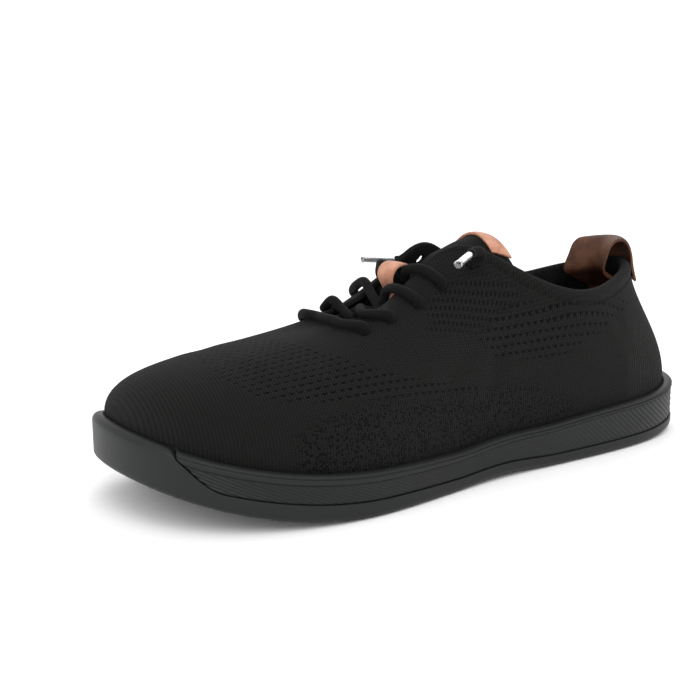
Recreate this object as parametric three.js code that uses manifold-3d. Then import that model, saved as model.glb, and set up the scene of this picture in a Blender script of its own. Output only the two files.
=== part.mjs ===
// Barefoot shoe, left foot: a hollow knitted upper on a thin rubber cup sole, with a round lace.
// Millimetres. +X points to the toe, +Y to the little toe, +Z up, and the sole stands on z = 0.
import * as THREE from 'three';
import { mergeVertices } from 'three/addons/utils/BufferGeometryUtils.js';
import Module from 'manifold-3d';

const wasm = await Module();
wasm.setup();

// Driving sizes of the last
const SOLE_LENGTH = 288;
const BALL_WIDTH = 109;
const INSTEP_HEIGHT = 96;
const TOE_SPRING = 18.5;
const TOE_SPRING_START = 0.68;
const HEEL_RISE = 3.2;
const HEEL_RISE_END = 0.16;
const ARCH_LIFT = 1.4;
const ARCH_MIDDLE = 0.45;
const ARCH_REACH = 0.11;

// Walls and clearances
const CLEAR = 0.3;
const OUTSOLE_THICKNESS = 4.6;
const FOOTBED_THICKNESS = 2;
const CUP_WALL = 4.6;
const UPPER_WALL = 2;
const COLLAR_PADDING = 2.2;
const INSOLE_THICKNESS = 3;
const TONGUE_THICKNESS = 2.6;
const LEATHER_THICKNESS = 1.3;

// Side of the sole
const SIDE_HEIGHT = 22.5;
const LIP_ROUND = 2.8;
const BOTTOM_ROUND = 3.4;
const RIB_ROWS = 5;
const RIB_DEPTH = 0.6;
const RIB_INSET = 0.3;
const RIB_PITCH = 3;
const BUMPER_START = 144;
const BUMPER_END = 161;

// Channels across the tread
const CHANNEL_WIDTH = 3;
const CHANNEL_DEPTH = 1.8;
const CHANNEL_BOW = 9;
const CHANNEL_PITCH = 12.5;
const TOE_CHANNELS = { first: 0.697, count: 7 };
const HEEL_CHANNELS = { first: 0.09, count: 5 };

// Lace, eyelets, keeper and heel loop
const LACE_DIAMETER = 4.2;
const LACE_OVERLAP = 0.6;
const EYELET_DIAMETER = 5;
const STRAIGHT_END = 3;
const TIP_LENGTH = 17;
const TIP_DIAMETER = 3.2;
const TONGUE_TOP_TURN = 90;
const TONGUE_END_TURN = 179.5;
const TONGUE_WING = 0.3;
const TONGUE_CROWN = 12;
const TONGUE_FALL = 1;
const TONGUE_SEAT = 0.9;
const BAR_RISE = 0.985;
const BAR_BOW = 0.065;
const UNDER_EDGE = [0.55, 0.46, 0.24];
const LABEL_SPAN = 0.42;
const KEEPER_WIDTH = 11.5;
const KEEPER_HEIGHT = 13.9;
const KEEPER_DROOP = 0.2;
const KEEPER_TURN = 5;
const LOOP_WIDTH = 23;
const LOOP_MIDDLE = -1.5;
const LOOP_HEIGHT = 8.5;
const LOOP_DEPTH = 15;
const LOOP_SEAT = 0.9;

// A whole turn around the shoe, and the turn beside the heel where a way across is measured
const WHOLE_TURN = 360;
const HEEL_TURN = 20;

// Fineness of the faceted surfaces
const AROUND = 72;
const PROFILE_STEPS = 8;

// One row for each 22.5 degrees of turn around the shoe, from the back of the heel by the outer side to
// the toe (180) and back by the inner side. edge is the sole's outline in shares of the ball width.
// along, across and high place the top edge of the upper in shares of length, ball width and instep height.
// swell and rise steer the upper where it leaves the sole, reach and drop where it comes to its top edge.
const SECTIONS = [
  { edge: 0.006, along: 0.080, across: 0.000, high: 0.870, swell: 0.008, rise: 0.230, reach: 0.010, drop: 0.200 },
  { edge: 0.237, along: 0.110, across: 0.128, high: 0.852, swell: 0.010, rise: 0.230, reach: 0.015, drop: 0.200 },
  { edge: 0.357, along: 0.170, across: 0.228, high: 0.815, swell: 0.014, rise: 0.230, reach: 0.025, drop: 0.200 },
  { edge: 0.394, along: 0.271, across: 0.303, high: 0.783, swell: 0.020, rise: 0.210, reach: 0.030, drop: 0.220 },
  { edge: 0.427, along: 0.375, across: 0.229, high: 0.896, swell: 0.020, rise: 0.240, reach: 0.110, drop: 0.240 },
  { edge: 0.511, along: 0.472, across: 0.115, high: 1.006, swell: 0.020, rise: 0.220, reach: 0.200, drop: 0.245 },
  { edge: 0.462, along: 0.569, across: 0.075, high: 0.796, swell: 0.020, rise: 0.220, reach: 0.340, drop: 0.139 },
  { edge: 0.265, along: 0.637, across: 0.065, high: 0.716, swell: 0.015, rise: 0.245, reach: 0.433, drop: 0.093 },
  { edge: -0.080, along: 0.665, across: -0.018, high: 0.700, swell: 0.010, rise: 0.265, reach: 0.463, drop: 0.098 },
  { edge: -0.374, along: 0.644, across: -0.086, high: 0.729, swell: 0.015, rise: 0.215, reach: 0.401, drop: 0.163 },
  { edge: -0.489, along: 0.569, across: -0.091, high: 0.812, swell: 0.020, rise: 0.180, reach: 0.310, drop: 0.245 },
  { edge: -0.477, along: 0.472, across: -0.128, high: 0.995, swell: 0.020, rise: 0.210, reach: 0.196, drop: 0.269 },
  { edge: -0.389, along: 0.375, across: -0.234, high: 0.896, swell: 0.020, rise: 0.240, reach: 0.110, drop: 0.240 },
  { edge: -0.337, along: 0.271, across: -0.284, high: 0.783, swell: 0.020, rise: 0.210, reach: 0.030, drop: 0.220 },
  { edge: -0.319, along: 0.170, across: -0.225, high: 0.815, swell: 0.014, rise: 0.230, reach: 0.025, drop: 0.200 },
  { edge: -0.239, along: 0.110, across: -0.126, high: 0.852, swell: 0.010, rise: 0.230, reach: 0.015, drop: 0.200 },
];

// Side of the sole at even steps from heel to toe, in shares of SIDE_HEIGHT above the underside:
// the top of the lip, the top of the ribbed band and the groove over the outsole.
const SIDES = [
  { lip: 1.000, band: 0.870, groove: 0.250 },
  { lip: 0.930, band: 0.800, groove: 0.240 },
  { lip: 0.740, band: 0.580, groove: 0.245 },
  { lip: 0.830, band: 0.640, groove: 0.320 },
  { lip: 0.810, band: 0.620, groove: 0.320 },
];

// Eyelet rows from the throat base to the top: the turn and rise of the hole on the upper, the turn where
// a lace goes over the eyestay's edge to it, and the turn where the next one comes out from under the edge
const EYELET_ROWS = [
  { turn: 130.8, rise: 0.719, beside: 162, out: 152 },
  { turn: 123.6, rise: 0.716, beside: 151, out: 144 },
  { turn: 116.7, rise: 0.736, beside: 135, out: 131 },
  { turn: 111.7, rise: 0.799, beside: 127, out: 122 },
  { turn: 104.7, rise: 0.909, beside: 108, out: 108 },
];

// Where a lace lies between the eyestay's edge and its eyelet: share of the way, and lift in clearances
const OVER_EDGE = [
  { share: 0.02, lift: 3.5 },
  { share: 0.5, lift: 1.8 },
];

// Bends of the free ends from the middle of the top eyelet, and the way that each tip points
const OUTER_END = [
  { forward: -2, across: 4, up: 2.5 },
  { forward: -1, across: 6, up: 5 },
  { forward: 2, across: 7.5, up: 6.3 },
  { forward: 6.5, across: 9, up: 5.8 },
];
const OUTER_TIP = { forward: 13.5, across: 10, up: -1.9 };
const INNER_END = [
  { forward: -1, across: 4.5, up: 1 },
  { forward: 0.5, across: 7.5, up: 0 },
  { forward: 4, across: 8.5, up: -1.8 },
];
const INNER_TIP = { forward: 19.6, across: 0, up: 1.8 };

// Path of the keeper over the crossing, in shares of KEEPER_TURN, of its height and of KEEPER_WIDTH
const KEEPER_ROWS = [
  { forward: -1.25, up: 0, wide: 0.45 },
  { forward: -0.9, up: 0.25, wide: 0.7 },
  { forward: -0.65, up: 0.8, wide: 0.95 },
  { forward: 0, up: 1, wide: 1 },
  { forward: 0.65, up: 0.8, wide: 0.95 },
  { forward: 0.9, up: 0.25, wide: 0.7 },
  { forward: 1.25, up: 0, wide: 0.45 },
];

// Where the heel loop lies on the upper: shares of its rise outside, and inside with its way off the wall
const LOOP_OUTSIDE = [0.8, 0.93];
const LOOP_INSIDE = [
  { t: 0.94, away: 0.6 },
  { t: 0.86, away: 0.25 },
  { t: 0.76, away: 0.02 },
  { t: 0.68, away: 0.02 },
];

const clamp = THREE.MathUtils.clamp;
const smoothstep = THREE.MathUtils.smoothstep;

// Smooth closed curve through evenly spaced values
function closedCurve(values) {
  const count = values.length;
  const knots = values.slice();
  for (let pass = 0; pass < 40; pass += 1) {
    for (let i = 0; i < count; i += 1) {
      knots[i] = (6 * values[i] - knots[(i + count - 1) % count] - knots[(i + 1) % count]) / 4;
    }
  }
  return (turn) => {
    const place = THREE.MathUtils.euclideanModulo(turn / WHOLE_TURN, 1) * count;
    const i = Math.floor(place) % count;
    const t = place - Math.floor(place);
    const weights = [(1 - t) ** 3, 3 * t ** 3 - 6 * t * t + 4, 3 * t * (1 + t - t * t) + 1, t ** 3];
    return weights.reduce((sum, weight, j) => sum + weight * knots[(i + j + count - 1) % count] / 6, 0);
  };
}

// Smooth open curve through evenly spaced values, flat past both ends
function openCurve(values) {
  const last = values.length - 1;
  return (share) => {
    const place = clamp(share, 0, 1) * last;
    const i = Math.min(Math.floor(place), last - 1);
    const t = place - i;
    const at = (k) => values[clamp(k, 0, last)];
    const before = (at(i + 1) - at(i - 1)) / 2;
    const after = (at(i + 2) - at(i)) / 2;
    const line = (2 * t ** 3 - 3 * t * t + 1) * at(i) + (3 * t * t - 2 * t ** 3) * at(i + 1);
    return line + (t ** 3 - 2 * t * t + t) * before + (t ** 3 - t * t) * after;
  };
}

const column = (name) => closedCurve(SECTIONS.map((row) => row[name]));
const edgeShare = column('edge');
const alongShare = column('along');
const acrossShare = column('across');
const highShare = column('high');
const swellShare = column('swell');
const riseShare = column('rise');
const reachShare = column('reach');
const dropShare = column('drop');
const lipShare = openCurve(SIDES.map((row) => row.lip));
const bandShare = openCurve(SIDES.map((row) => row.band));
const grooveShare = openCurve(SIDES.map((row) => row.groove));

// Underside of the sole above the floor: flat under heel and ball, raised at heel back, arch and toe
const shareAt = (x) => x / SOLE_LENGTH + 0.5;
function underside(x) {
  const share = shareAt(x);
  const toe = Math.max(0, share - TOE_SPRING_START) / (1 - TOE_SPRING_START);
  const heel = Math.max(0, HEEL_RISE_END - share) / HEEL_RISE_END;
  const arch = Math.abs(share - ARCH_MIDDLE) / ARCH_REACH;
  const archLift = arch < 1 ? ARCH_LIFT * (0.5 + 0.5 * Math.cos(Math.PI * arch)) : 0;
  return TOE_SPRING * toe * toe + HEEL_RISE * heel * heel + archLift;
}

// Outline of the sole and its inward offset
function outlinePoint(turn) {
  const angle = THREE.MathUtils.degToRad(turn);
  return new THREE.Vector2(-SOLE_LENGTH / 2 * Math.cos(angle), BALL_WIDTH * edgeShare(turn));
}
function outward(turn) {
  const step = outlinePoint(turn + 0.5).sub(outlinePoint(turn - 0.5)).normalize();
  return new THREE.Vector2(-step.y, step.x);
}
const insetPoint = (turn, inset) => outlinePoint(turn).addScaledVector(outward(turn), -inset);

const lipTop = (x) => underside(x) + SIDE_HEIGHT * lipShare(shareAt(x));
const bandTop = (x) => underside(x) + SIDE_HEIGHT * bandShare(shareAt(x));
const grooveTop = (x) => underside(x) + SIDE_HEIGHT * grooveShare(shareAt(x));
const slabTop = (x) => underside(x) + OUTSOLE_THICKNESS;
const footbed = (x) => slabTop(x) + CLEAR + FOOTBED_THICKNESS;

// Turn counted from the heel on either side
const fromHeel = (turn) => (turn > WHOLE_TURN / 2 ? WHOLE_TURN - turn : turn);

// How far the toe bumper has climbed over the side, from 0 at its tail to 1 around the toe
function bumperShare(turn) {
  return smoothstep(fromHeel(turn), BUMPER_START, BUMPER_END);
}
const bumperTop = (turn, x) => (
  grooveTop(x) + bumperShare(turn) * (lipTop(x) + 2 * CLEAR - grooveTop(x)));

// A row of points around the shoe at one inset, with a height that follows turn and x
const turns = Array.from({ length: AROUND }, (_, i) => i * WHOLE_TURN / AROUND);
function ringRow(inset, height) {
  return turns.map((turn, i) => {
    const depth = typeof inset === 'function' ? inset(turn, i) : inset;
    const spot = insetPoint(turn, depth);
    return new THREE.Vector3(spot.x, spot.y, height(spot.x, turn));
  });
}

// Builds a geometry from rows of points and a list of triangles over them
function geometryOf(points, triangles) {
  const geometry = new THREE.BufferGeometry().setFromPoints(points);
  geometry.setIndex(triangles.flat());
  return geometry;
}
function bandTriangles(first, second, count) {
  const faces = [];
  for (let i = 0; i < count; i += 1) {
    const j = (i + 1) % count;
    faces.push([first + i, second + i, first + j], [first + j, second + i, second + j]);
  }
  return faces;
}
function capTriangles(start, count, up) {
  const faces = [];
  const half = count / 2;
  for (let i = 0; i < half; i += 1) {
    const left = [start + i, start + i + 1];
    const right = [start + (count - i) % count, start + count - i - 1];
    if (i > 0) faces.push([left[0], right[0], left[1]]);
    if (i < half - 1) faces.push([left[1], right[0], right[1]]);
  }
  return up ? faces : faces.map(([a, b, c]) => [a, c, b]);
}

// A body from stacked rings, closed by a strip across the first and the last
function stackedBody(rows) {
  const faces = [...capTriangles(0, AROUND, false)];
  for (let row = 0; row < rows.length - 1; row += 1) {
    faces.push(...bandTriangles(row * AROUND, (row + 1) * AROUND, AROUND));
  }
  faces.push(...capTriangles((rows.length - 1) * AROUND, AROUND, true));
  return toSolid(geometryOf(rows.flat(), faces));
}

// A hollow body from rings, the last joined back to the first
function ringBody(rows) {
  const faces = [];
  for (let row = 0; row < rows.length; row += 1) {
    faces.push(...bandTriangles(row * AROUND, ((row + 1) % rows.length) * AROUND, AROUND));
  }
  return toSolid(geometryOf(rows.flat(), faces));
}

// A sheet with a thickness from two grids of the same size; closedEnd leaves the last row without a rim
function sheetBody(top, bottom, closedEnd = false) {
  const rows = top.length;
  const columns = top[0].length;
  const under = rows * columns;
  const at = (row, place) => row * columns + place;
  const faces = [];
  const quad = (a, b, c, d) => faces.push([a, b, c], [a, c, d]);
  for (let row = 0; row < rows - 1; row += 1) {
    for (let place = 0; place < columns - 1; place += 1) {
      const corners = [at(row, place), at(row + 1, place), at(row + 1, place + 1), at(row, place + 1)];
      quad(...corners);
      quad(...corners.map((corner) => corner + under).reverse());
    }
    quad(at(row, 0), at(row, 0) + under, at(row + 1, 0) + under, at(row + 1, 0));
    const end = columns - 1;
    quad(at(row + 1, end), at(row + 1, end) + under, at(row, end) + under, at(row, end));
  }
  for (let place = 0; place < columns - 1; place += 1) {
    quad(at(0, place + 1), at(0, place + 1) + under, at(0, place) + under, at(0, place));
    const end = rows - 1;
    const [left, right] = [at(end, place), at(end, place + 1)];
    if (!closedEnd) quad(left, left + under, right + under, right);
  }
  return toSolid(geometryOf([...top.flat(), ...bottom.flat()], faces));
}

// Turns a closed geometry into a solid that can be joined and cut
function toSolid(geometry) {
  const bare = geometry.index ? geometry.clone() : geometry;
  bare.deleteAttribute('normal');
  bare.deleteAttribute('uv');
  const merged = mergeVertices(bare, 1e-4);
  const corners = merged.index.array;
  const faces = [];
  for (let i = 0; i < corners.length; i += 3) {
    const [a, b, c] = [corners[i], corners[i + 1], corners[i + 2]];
    if (a !== b && b !== c && c !== a) faces.push(a, b, c);
  }
  const mesh = new wasm.Mesh({
    numProp: 3,
    vertProperties: new Float32Array(merged.attributes.position.array),
    triVerts: new Uint32Array(faces),
  });
  return new wasm.Manifold(mesh);
}
function toGeometry(solid) {
  const { vertProperties, triVerts } = solid.getMesh();
  const geometry = new THREE.BufferGeometry();
  geometry.setAttribute('position', new THREE.BufferAttribute(new Float32Array(vertProperties), 3));
  geometry.setIndex(new THREE.BufferAttribute(new Uint32Array(triVerts), 1));
  geometry.computeVertexNormals();
  return geometry;
}

// Outsole: a slab with a rounded edge that climbs the side around the toe, and channels across the tread
function makeOutsole() {
  const capped = (height) => (x, turn) => Math.min(height(x), bumperTop(turn, x));
  let body = stackedBody([
    ringRow(BOTTOM_ROUND, underside),
    ringRow(BOTTOM_ROUND * 0.3, (x) => underside(x) + BOTTOM_ROUND * 0.25),
    ringRow(0, (x) => underside(x) + BOTTOM_ROUND * 0.8),
    ringRow(0, capped((x) => lipTop(x) - LIP_ROUND)),
    ringRow(LIP_ROUND * 0.25, capped((x) => lipTop(x) - LIP_ROUND * 0.3)),
    ringRow(LIP_ROUND, capped(lipTop)),
    ringRow(CUP_WALL, capped((x) => lipTop(x) - CLEAR)),
    ringRow(CUP_WALL, slabTop),
  ]);
  for (const row of [TOE_CHANNELS, HEEL_CHANNELS]) {
    for (let i = 0; i < row.count; i += 1) {
      body = body.subtract(channel((row.first - 0.5) * SOLE_LENGTH + i * CHANNEL_PITCH));
    }
  }
  return body;
}

// One bowed channel across the tread
function channel(x) {
  const steps = 6;
  const top = [];
  const bottom = [];
  for (const side of [-0.5, 0.5]) {
    const lane = Array.from({ length: steps + 1 }, (_, i) => {
      const across = i / steps * 2 - 1;
      const forward = x + side * CHANNEL_WIDTH - CHANNEL_BOW * across * across;
      return new THREE.Vector2(forward, across * BALL_WIDTH * 0.6);
    });
    const height = ({ x: px, y }, lift) => new THREE.Vector3(px, y, underside(px) + lift);
    top.push(lane.map((spot) => height(spot, CHANNEL_DEPTH)));
    bottom.push(lane.map((spot) => height(spot, -BOTTOM_ROUND)));
  }
  return sheetBody(top, bottom);
}

// Midsole: a cup with a ribbed band and a rounded lip, cut away where the toe bumper stands
function makeMidsole() {
  const under = (x) => slabTop(x) + CLEAR;
  const ribs = Array.from({ length: RIB_ROWS }, (_, row) => {
    const share = (row + 0.5) / RIB_ROWS;
    const inset = (turn, i) => RIB_INSET + ((i + row) % RIB_PITCH === 0 ? RIB_DEPTH : 0);
    return ringRow(inset, (x) => grooveTop(x) + CLEAR + (bandTop(x) - grooveTop(x) - CLEAR) * share);
  });
  const cup = stackedBody([
    ringRow(CUP_WALL, under),
    ringRow(1, (x) => Math.min(under(x), grooveTop(x) - CLEAR)),
    ...ribs,
    ringRow(RIB_INSET + RIB_DEPTH, bandTop),
    ringRow(0, (x) => bandTop(x) + 0.7),
    ringRow(0, (x) => lipTop(x) - LIP_ROUND * 0.6),
    ringRow(LIP_ROUND * 0.25, (x) => lipTop(x) - LIP_ROUND * 0.2),
    ringRow(LIP_ROUND, lipTop),
    ringRow(CUP_WALL, (x) => lipTop(x) - CLEAR),
    ringRow(CUP_WALL, footbed),
  ]);
  const cutTop = (x, turn) => bumperTop(turn, x) + CLEAR + 3 * CLEAR * bumperShare(turn);
  const deep = () => -SIDE_HEIGHT;
  const cutter = ringBody([
    ringRow(-SIDE_HEIGHT / 2, deep),
    ringRow(-SIDE_HEIGHT / 2, cutTop),
    ringRow(CUP_WALL + CLEAR, cutTop),
    ringRow(CUP_WALL + CLEAR, deep),
  ]);
  return cup.subtract(cutter);
}

// Insole: a flat layer inside the upper
function makeInsole() {
  const inset = CUP_WALL + UPPER_WALL + 2 * CLEAR;
  return stackedBody([
    ringRow(inset, (x) => footbed(x) + CLEAR),
    ringRow(inset, (x) => footbed(x) + CLEAR + INSOLE_THICKNESS),
  ]);
}

// The upper's outer surface: a curve from the lip (rise 0) to the top edge (rise 1) for each turn
function upperSurface(turn, t) {
  const foot = insetPoint(turn, CUP_WALL + CLEAR);
  const start = new THREE.Vector3(foot.x, foot.y, lipTop(foot.x));
  const end = new THREE.Vector3(
    (alongShare(turn) - 0.5) * SOLE_LENGTH,
    acrossShare(turn) * BALL_WIDTH,
    highShare(turn) * INSTEP_HEIGHT,
  );
  const normal = outward(turn);
  const away = new THREE.Vector2(start.x - end.x, start.y - end.y).normalize();
  const swell = swellShare(turn) * BALL_WIDTH;
  const reach = reachShare(turn) * BALL_WIDTH;
  const low = new THREE.Vector3(
    start.x + normal.x * swell,
    start.y + normal.y * swell,
    start.z + riseShare(turn) * INSTEP_HEIGHT,
  );
  const high = new THREE.Vector3(
    end.x + away.x * reach,
    end.y + away.y * reach,
    end.z - dropShare(turn) * INSTEP_HEIGHT,
  );
  return new THREE.CubicBezierCurve3(start, low, high, end).getPoint(clamp(t, 0, 1));
}

// Point at a distance from a surface, along its numeric normal
function offsetPoint(surface, a, b, distance, flip = 1) {
  const stepA = surface(a + 0.5, b).sub(surface(a - 0.5, b));
  const stepB = surface(a, b + 0.01).sub(surface(a, b - 0.01));
  const normal = stepB.cross(stepA).normalize().multiplyScalar(flip);
  return surface(a, b).addScaledVector(normal, distance);
}
const skin = (turn, t, depth) => offsetPoint(upperSurface, turn, t, -depth);

// The collar is padded around the ankle and thins out before the eyestays
function wallAt(turn, t) {
  const collar = 1 - smoothstep(fromHeel(turn), 60, 92);
  return UPPER_WALL + COLLAR_PADDING * collar * smoothstep(t, 0.72, 0.9);
}

// Upper: one wall from the footbed up to collar, eyestays and throat base, open above and below
function makeUpper() {
  const floor = (x) => footbed(x) + CLEAR;
  const rises = Array.from({ length: PROFILE_STEPS + 1 }, (_, i) => i / PROFILE_STEPS)
    .map((share) => share * (0.8 + 0.2 * share));
  const outer = rises.map((t) => turns.map((turn) => skin(turn, t, 0)));
  const inner = rises.map((t) => turns.map((turn) => skin(turn, t, wallAt(turn, t)))).reverse();
  let body = ringBody([
    ringRow(CUP_WALL + CLEAR, floor),
    ...outer,
    ...inner,
    ringRow(CUP_WALL + CLEAR + UPPER_WALL, floor),
  ]);
  for (const side of [1, -1]) {
    for (const row of EYELET_ROWS) {
      const { centre, normal } = eyelet(row, side);
      const radius = EYELET_DIAMETER / 2;
      const punch = new THREE.CylinderGeometry(radius, radius, 6 * UPPER_WALL, 10);
      punch.applyQuaternion(new THREE.Quaternion().setFromUnitVectors(new THREE.Vector3(0, 1, 0), normal));
      punch.translate(centre.x, centre.y, centre.z);
      body = body.subtract(toSolid(punch));
    }
  }
  return body;
}

// An eyelet on the outer surface; side is 1 on the outer side of the foot and -1 on the inner
const sided = (turn, side) => (side > 0 ? turn : WHOLE_TURN - turn);
function eyelet(row, side) {
  const turn = sided(row.turn, side);
  const centre = skin(turn, row.rise, 0);
  const normal = skin(turn, row.rise, -1).sub(centre).normalize();
  return { centre, normal };
}

// Tongue: a knitted sheet under the throat. turn runs forward on both sides of the throat, and across goes
// from -1 under the inner eyestay to 1 under the outer one; past 0.5 it follows the wall of the upper.
function laceRoom(turn) {
  const room = smoothstep(turn, TONGUE_TOP_TURN, TONGUE_TOP_TURN + 12) * (1 - smoothstep(turn, 156, 172));
  return TONGUE_SEAT + (LACE_DIAMETER + 4 * CLEAR) * room;
}
function tongueSurface(turn, across) {
  const span = Math.abs(across);
  if (span >= 0.5) {
    const wing = (span - 0.5) * 2;
    const t = 1 - wing * TONGUE_WING;
    const fade = 1 - smoothstep(wing, 0.5, 1);
    return skin(sided(turn, across), t, UPPER_WALL + TONGUE_SEAT + (laceRoom(turn) - TONGUE_SEAT) * fade);
  }
  const depth = UPPER_WALL + laceRoom(turn);
  const outer = skin(turn, 1, depth);
  const inner = skin(WHOLE_TURN - turn, 1, depth);
  const fall = 1 - TONGUE_FALL * smoothstep(turn, TONGUE_TOP_TURN, 115);
  const crown = TONGUE_CROWN * fall * (1 - smoothstep(turn, 140, WHOLE_TURN / 2));
  const middle = inner.lerp(outer, across + 0.5);
  middle.z += crown * (1 - (2 * across) ** 2);
  return middle;
}
const onTongue = (turn, across, lift) => offsetPoint(tongueSurface, turn, across, lift, -1);
function makeTongue() {
  const rows = 12;
  const places = [-1, -0.83, -0.66, -0.5, -0.3, -0.1, 0.1, 0.3, 0.5, 0.66, 0.83, 1];
  const sheet = (depth) => Array.from({ length: rows + 1 }, (_, row) => {
    const turn = TONGUE_TOP_TURN + (WHOLE_TURN / 2 - TONGUE_TOP_TURN) * row / rows;
    if (row < rows) return places.map((across) => onTongue(turn, across, -depth));
    const outerPlaces = places.filter((across) => across > 0);
    const half = outerPlaces.map((across) => onTongue(TONGUE_END_TURN, across, -depth));
    half.forEach((spot, i) => spot.copy(i < 3 ? half[2] : spot));
    return [...half.slice().reverse(), ...half];
  });
  return sheetBody(sheet(0), sheet(TONGUE_THICKNESS), true);
}

// Leather patch across the top of the tongue
function makeLabel() {
  const rows = [0.8, 3.5, 6.5];
  const places = [-1, -0.6, -0.2, 0.2, 0.6, 1].map((share) => share * LABEL_SPAN);
  const sheet = (lift) => rows.map((forward) => places.map((across) => (
    onTongue(TONGUE_TOP_TURN + forward, across, lift))));
  return sheetBody(sheet(CLEAR + LEATHER_THICKNESS), sheet(CLEAR));
}

// A round lace along chosen points
function cord(points, diameter = LACE_DIAMETER, steps = 10) {
  const section = new THREE.Shape().absarc(0, 0, diameter / 2, 0, 2 * Math.PI, false);
  const path = new THREE.CatmullRomCurve3(points, false, 'centripetal');
  return toSolid(new THREE.ExtrudeGeometry(section, {
    steps, bevelEnabled: false, extrudePath: path, curveSegments: 4,
  }));
}

// Heights of a lace's middle line over the tongue and over the upper
const LACE_SEAT = LACE_DIAMETER / 2 + CLEAR;

// The lace comes over the eyestay's edge, turns above an eyelet and stops just inside the wall
function intoEyelet(row, side) {
  const { centre, normal } = eyelet(row, side);
  const out = (distance) => centre.clone().addScaledVector(normal, distance);
  const over = OVER_EDGE.map(({ share, lift }) => {
    const turn = THREE.MathUtils.lerp(row.beside, row.turn, share);
    const rise = THREE.MathUtils.lerp(1, row.rise, share);
    return skin(sided(turn, side), rise, -LACE_SEAT - lift * CLEAR);
  });
  return [...over, out(LACE_SEAT), out(0), out(-UPPER_WALL - CLEAR)];
}

// Bar in front of the throat base: over the knit from one first eyelet to the other
function makeBar() {
  const row = EYELET_ROWS[0];
  const half = (side) => [1, 0.75, 0.5, 0.3].map((share) => {
    const turn = THREE.MathUtils.lerp(row.turn, WHOLE_TURN / 2, share);
    const rise = THREE.MathUtils.lerp(row.rise, BAR_RISE, share) + BAR_BOW * Math.sin(Math.PI * share);
    return skin(sided(turn, side), rise, -LACE_SEAT - CLEAR);
  });
  const down = (side) => intoEyelet(row, side).slice(OVER_EDGE.length);
  const outer = [...half(1), ...down(1)].reverse();
  return cord([...outer, ...half(-1).slice(1), ...down(-1)], LACE_DIAMETER, 12);
}

// Two strands that cross on the tongue: each comes from under one eyestay and goes into the next eyelet of
// the other one
function makeCrossing(from, to) {
  const middleTurn = (from.out + to.beside) / 2;
  const strands = [1, -1].map((side) => {
    const over = side > 0 ? LACE_DIAMETER * LACE_OVERLAP : 0;
    const under = UNDER_EDGE.map((across, i) => (
      onTongue(from.out - i, side * across, LACE_SEAT + 3 * CLEAR)));
    const middle = onTongue(middleTurn, 0, LACE_SEAT + CLEAR + over);
    const goal = intoEyelet(to, -side);
    const rising = middle.clone().lerp(goal[0], 0.5);
    return cord([...under, middle, rising, ...goal]);
  });
  return strands[0].add(strands[1]);
}

// Free ends: out of the top eyelets, then on to a stiff tip
function laceEnd(side) {
  const { centre, normal } = eyelet(EYELET_ROWS[EYELET_ROWS.length - 1], side);
  const out = (distance) => centre.clone().addScaledVector(normal, distance);
  const from = (forward, across, up) => centre.clone().add(new THREE.Vector3(forward, side * across, up));
  const rows = side > 0 ? OUTER_END : INNER_END;
  const bends = rows.map(({ forward, across, up }) => from(forward, across, up));
  const tip = side > 0 ? OUTER_TIP : INNER_TIP;
  const along = new THREE.Vector3(tip.forward, side * tip.across, tip.up).normalize();
  const last = bends[bends.length - 1];
  const straight = [0.5, 1].map((share) => last.clone().addScaledVector(along, share * STRAIGHT_END));
  return { points: [out(CLEAR), out(LACE_SEAT), ...bends, ...straight], along };
}
const tipLine = ({ points, along }) => {
  const start = points[points.length - 1];
  return [0, 0.5, 1].map((share) => start.clone().addScaledVector(along, 2 * CLEAR + TIP_LENGTH * share));
};
const makeEnd = (side) => cord(laceEnd(side).points, LACE_DIAMETER, 10);
const makeTip = (side) => cord(tipLine(laceEnd(side)), TIP_DIAMETER, 2);

// Small leather loop on the tongue over the last crossing, wider at its top than at its feet
function makeKeeper() {
  const middle = (EYELET_ROWS[2].out + EYELET_ROWS[3].beside) / 2;
  const sheet = (lift) => KEEPER_ROWS.map(({ forward, up, wide }) => [-1, -0.33, 0.33, 1].map((share) => {
    const spot = onTongue(middle + forward * KEEPER_TURN, 0, 2 * CLEAR + up * KEEPER_HEIGHT + lift);
    spot.y += share * wide * KEEPER_WIDTH / 2;
    spot.z -= KEEPER_DROOP * (share * wide) ** 2;
    return spot;
  }));
  return sheetBody(sheet(LEATHER_THICKNESS), sheet(0));
}

// Leather pull loop: up the back of the heel, over the collar and down inside it
function makeHeelLoop() {
  const places = [-1, -0.5, 0, 0.5, 1].map((share) => LOOP_MIDDLE + share * LOOP_WIDTH / 2);
  const arch = [15, 45, 75, 105, 135, 165].map((angle) => THREE.MathUtils.degToRad(angle));
  const onUpper = (y, t, depth) => skin(y * HEEL_TURN / skin(HEEL_TURN, t, depth).y, t, depth);
  const sheet = (lift) => {
    const outside = LOOP_OUTSIDE.map((t) => places.map((y) => onUpper(y, t, -LOOP_SEAT - lift)));
    const over = arch.map((angle) => places.map((y) => {
      const base = onUpper(y, 1, 0);
      base.x -= LOOP_SEAT - LOOP_DEPTH / 2 + (LOOP_DEPTH / 2 + lift) * Math.cos(angle);
      base.z += LOOP_SEAT + (LOOP_HEIGHT + lift) * Math.sin(angle);
      return base;
    }));
    const inside = LOOP_INSIDE.map(({ t, away }) => places.map((y) => {
      const base = onUpper(y, t, wallAt(0, t) + LOOP_SEAT);
      base.x += away * LOOP_DEPTH + lift;
      return base;
    }));
    return [...outside, ...over, ...inside];
  };
  return sheetBody(sheet(LEATHER_THICKNESS), sheet(0));
}

// Adds a named mesh with its own material
const shoe = new THREE.Group();
function add(name, solid, color, roughness, metalness = 0) {
  const material = new THREE.MeshStandardMaterial({ color, roughness, metalness });
  const mesh = new THREE.Mesh(toGeometry(solid), material);
  mesh.name = name;
  shoe.add(mesh);
}

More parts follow.
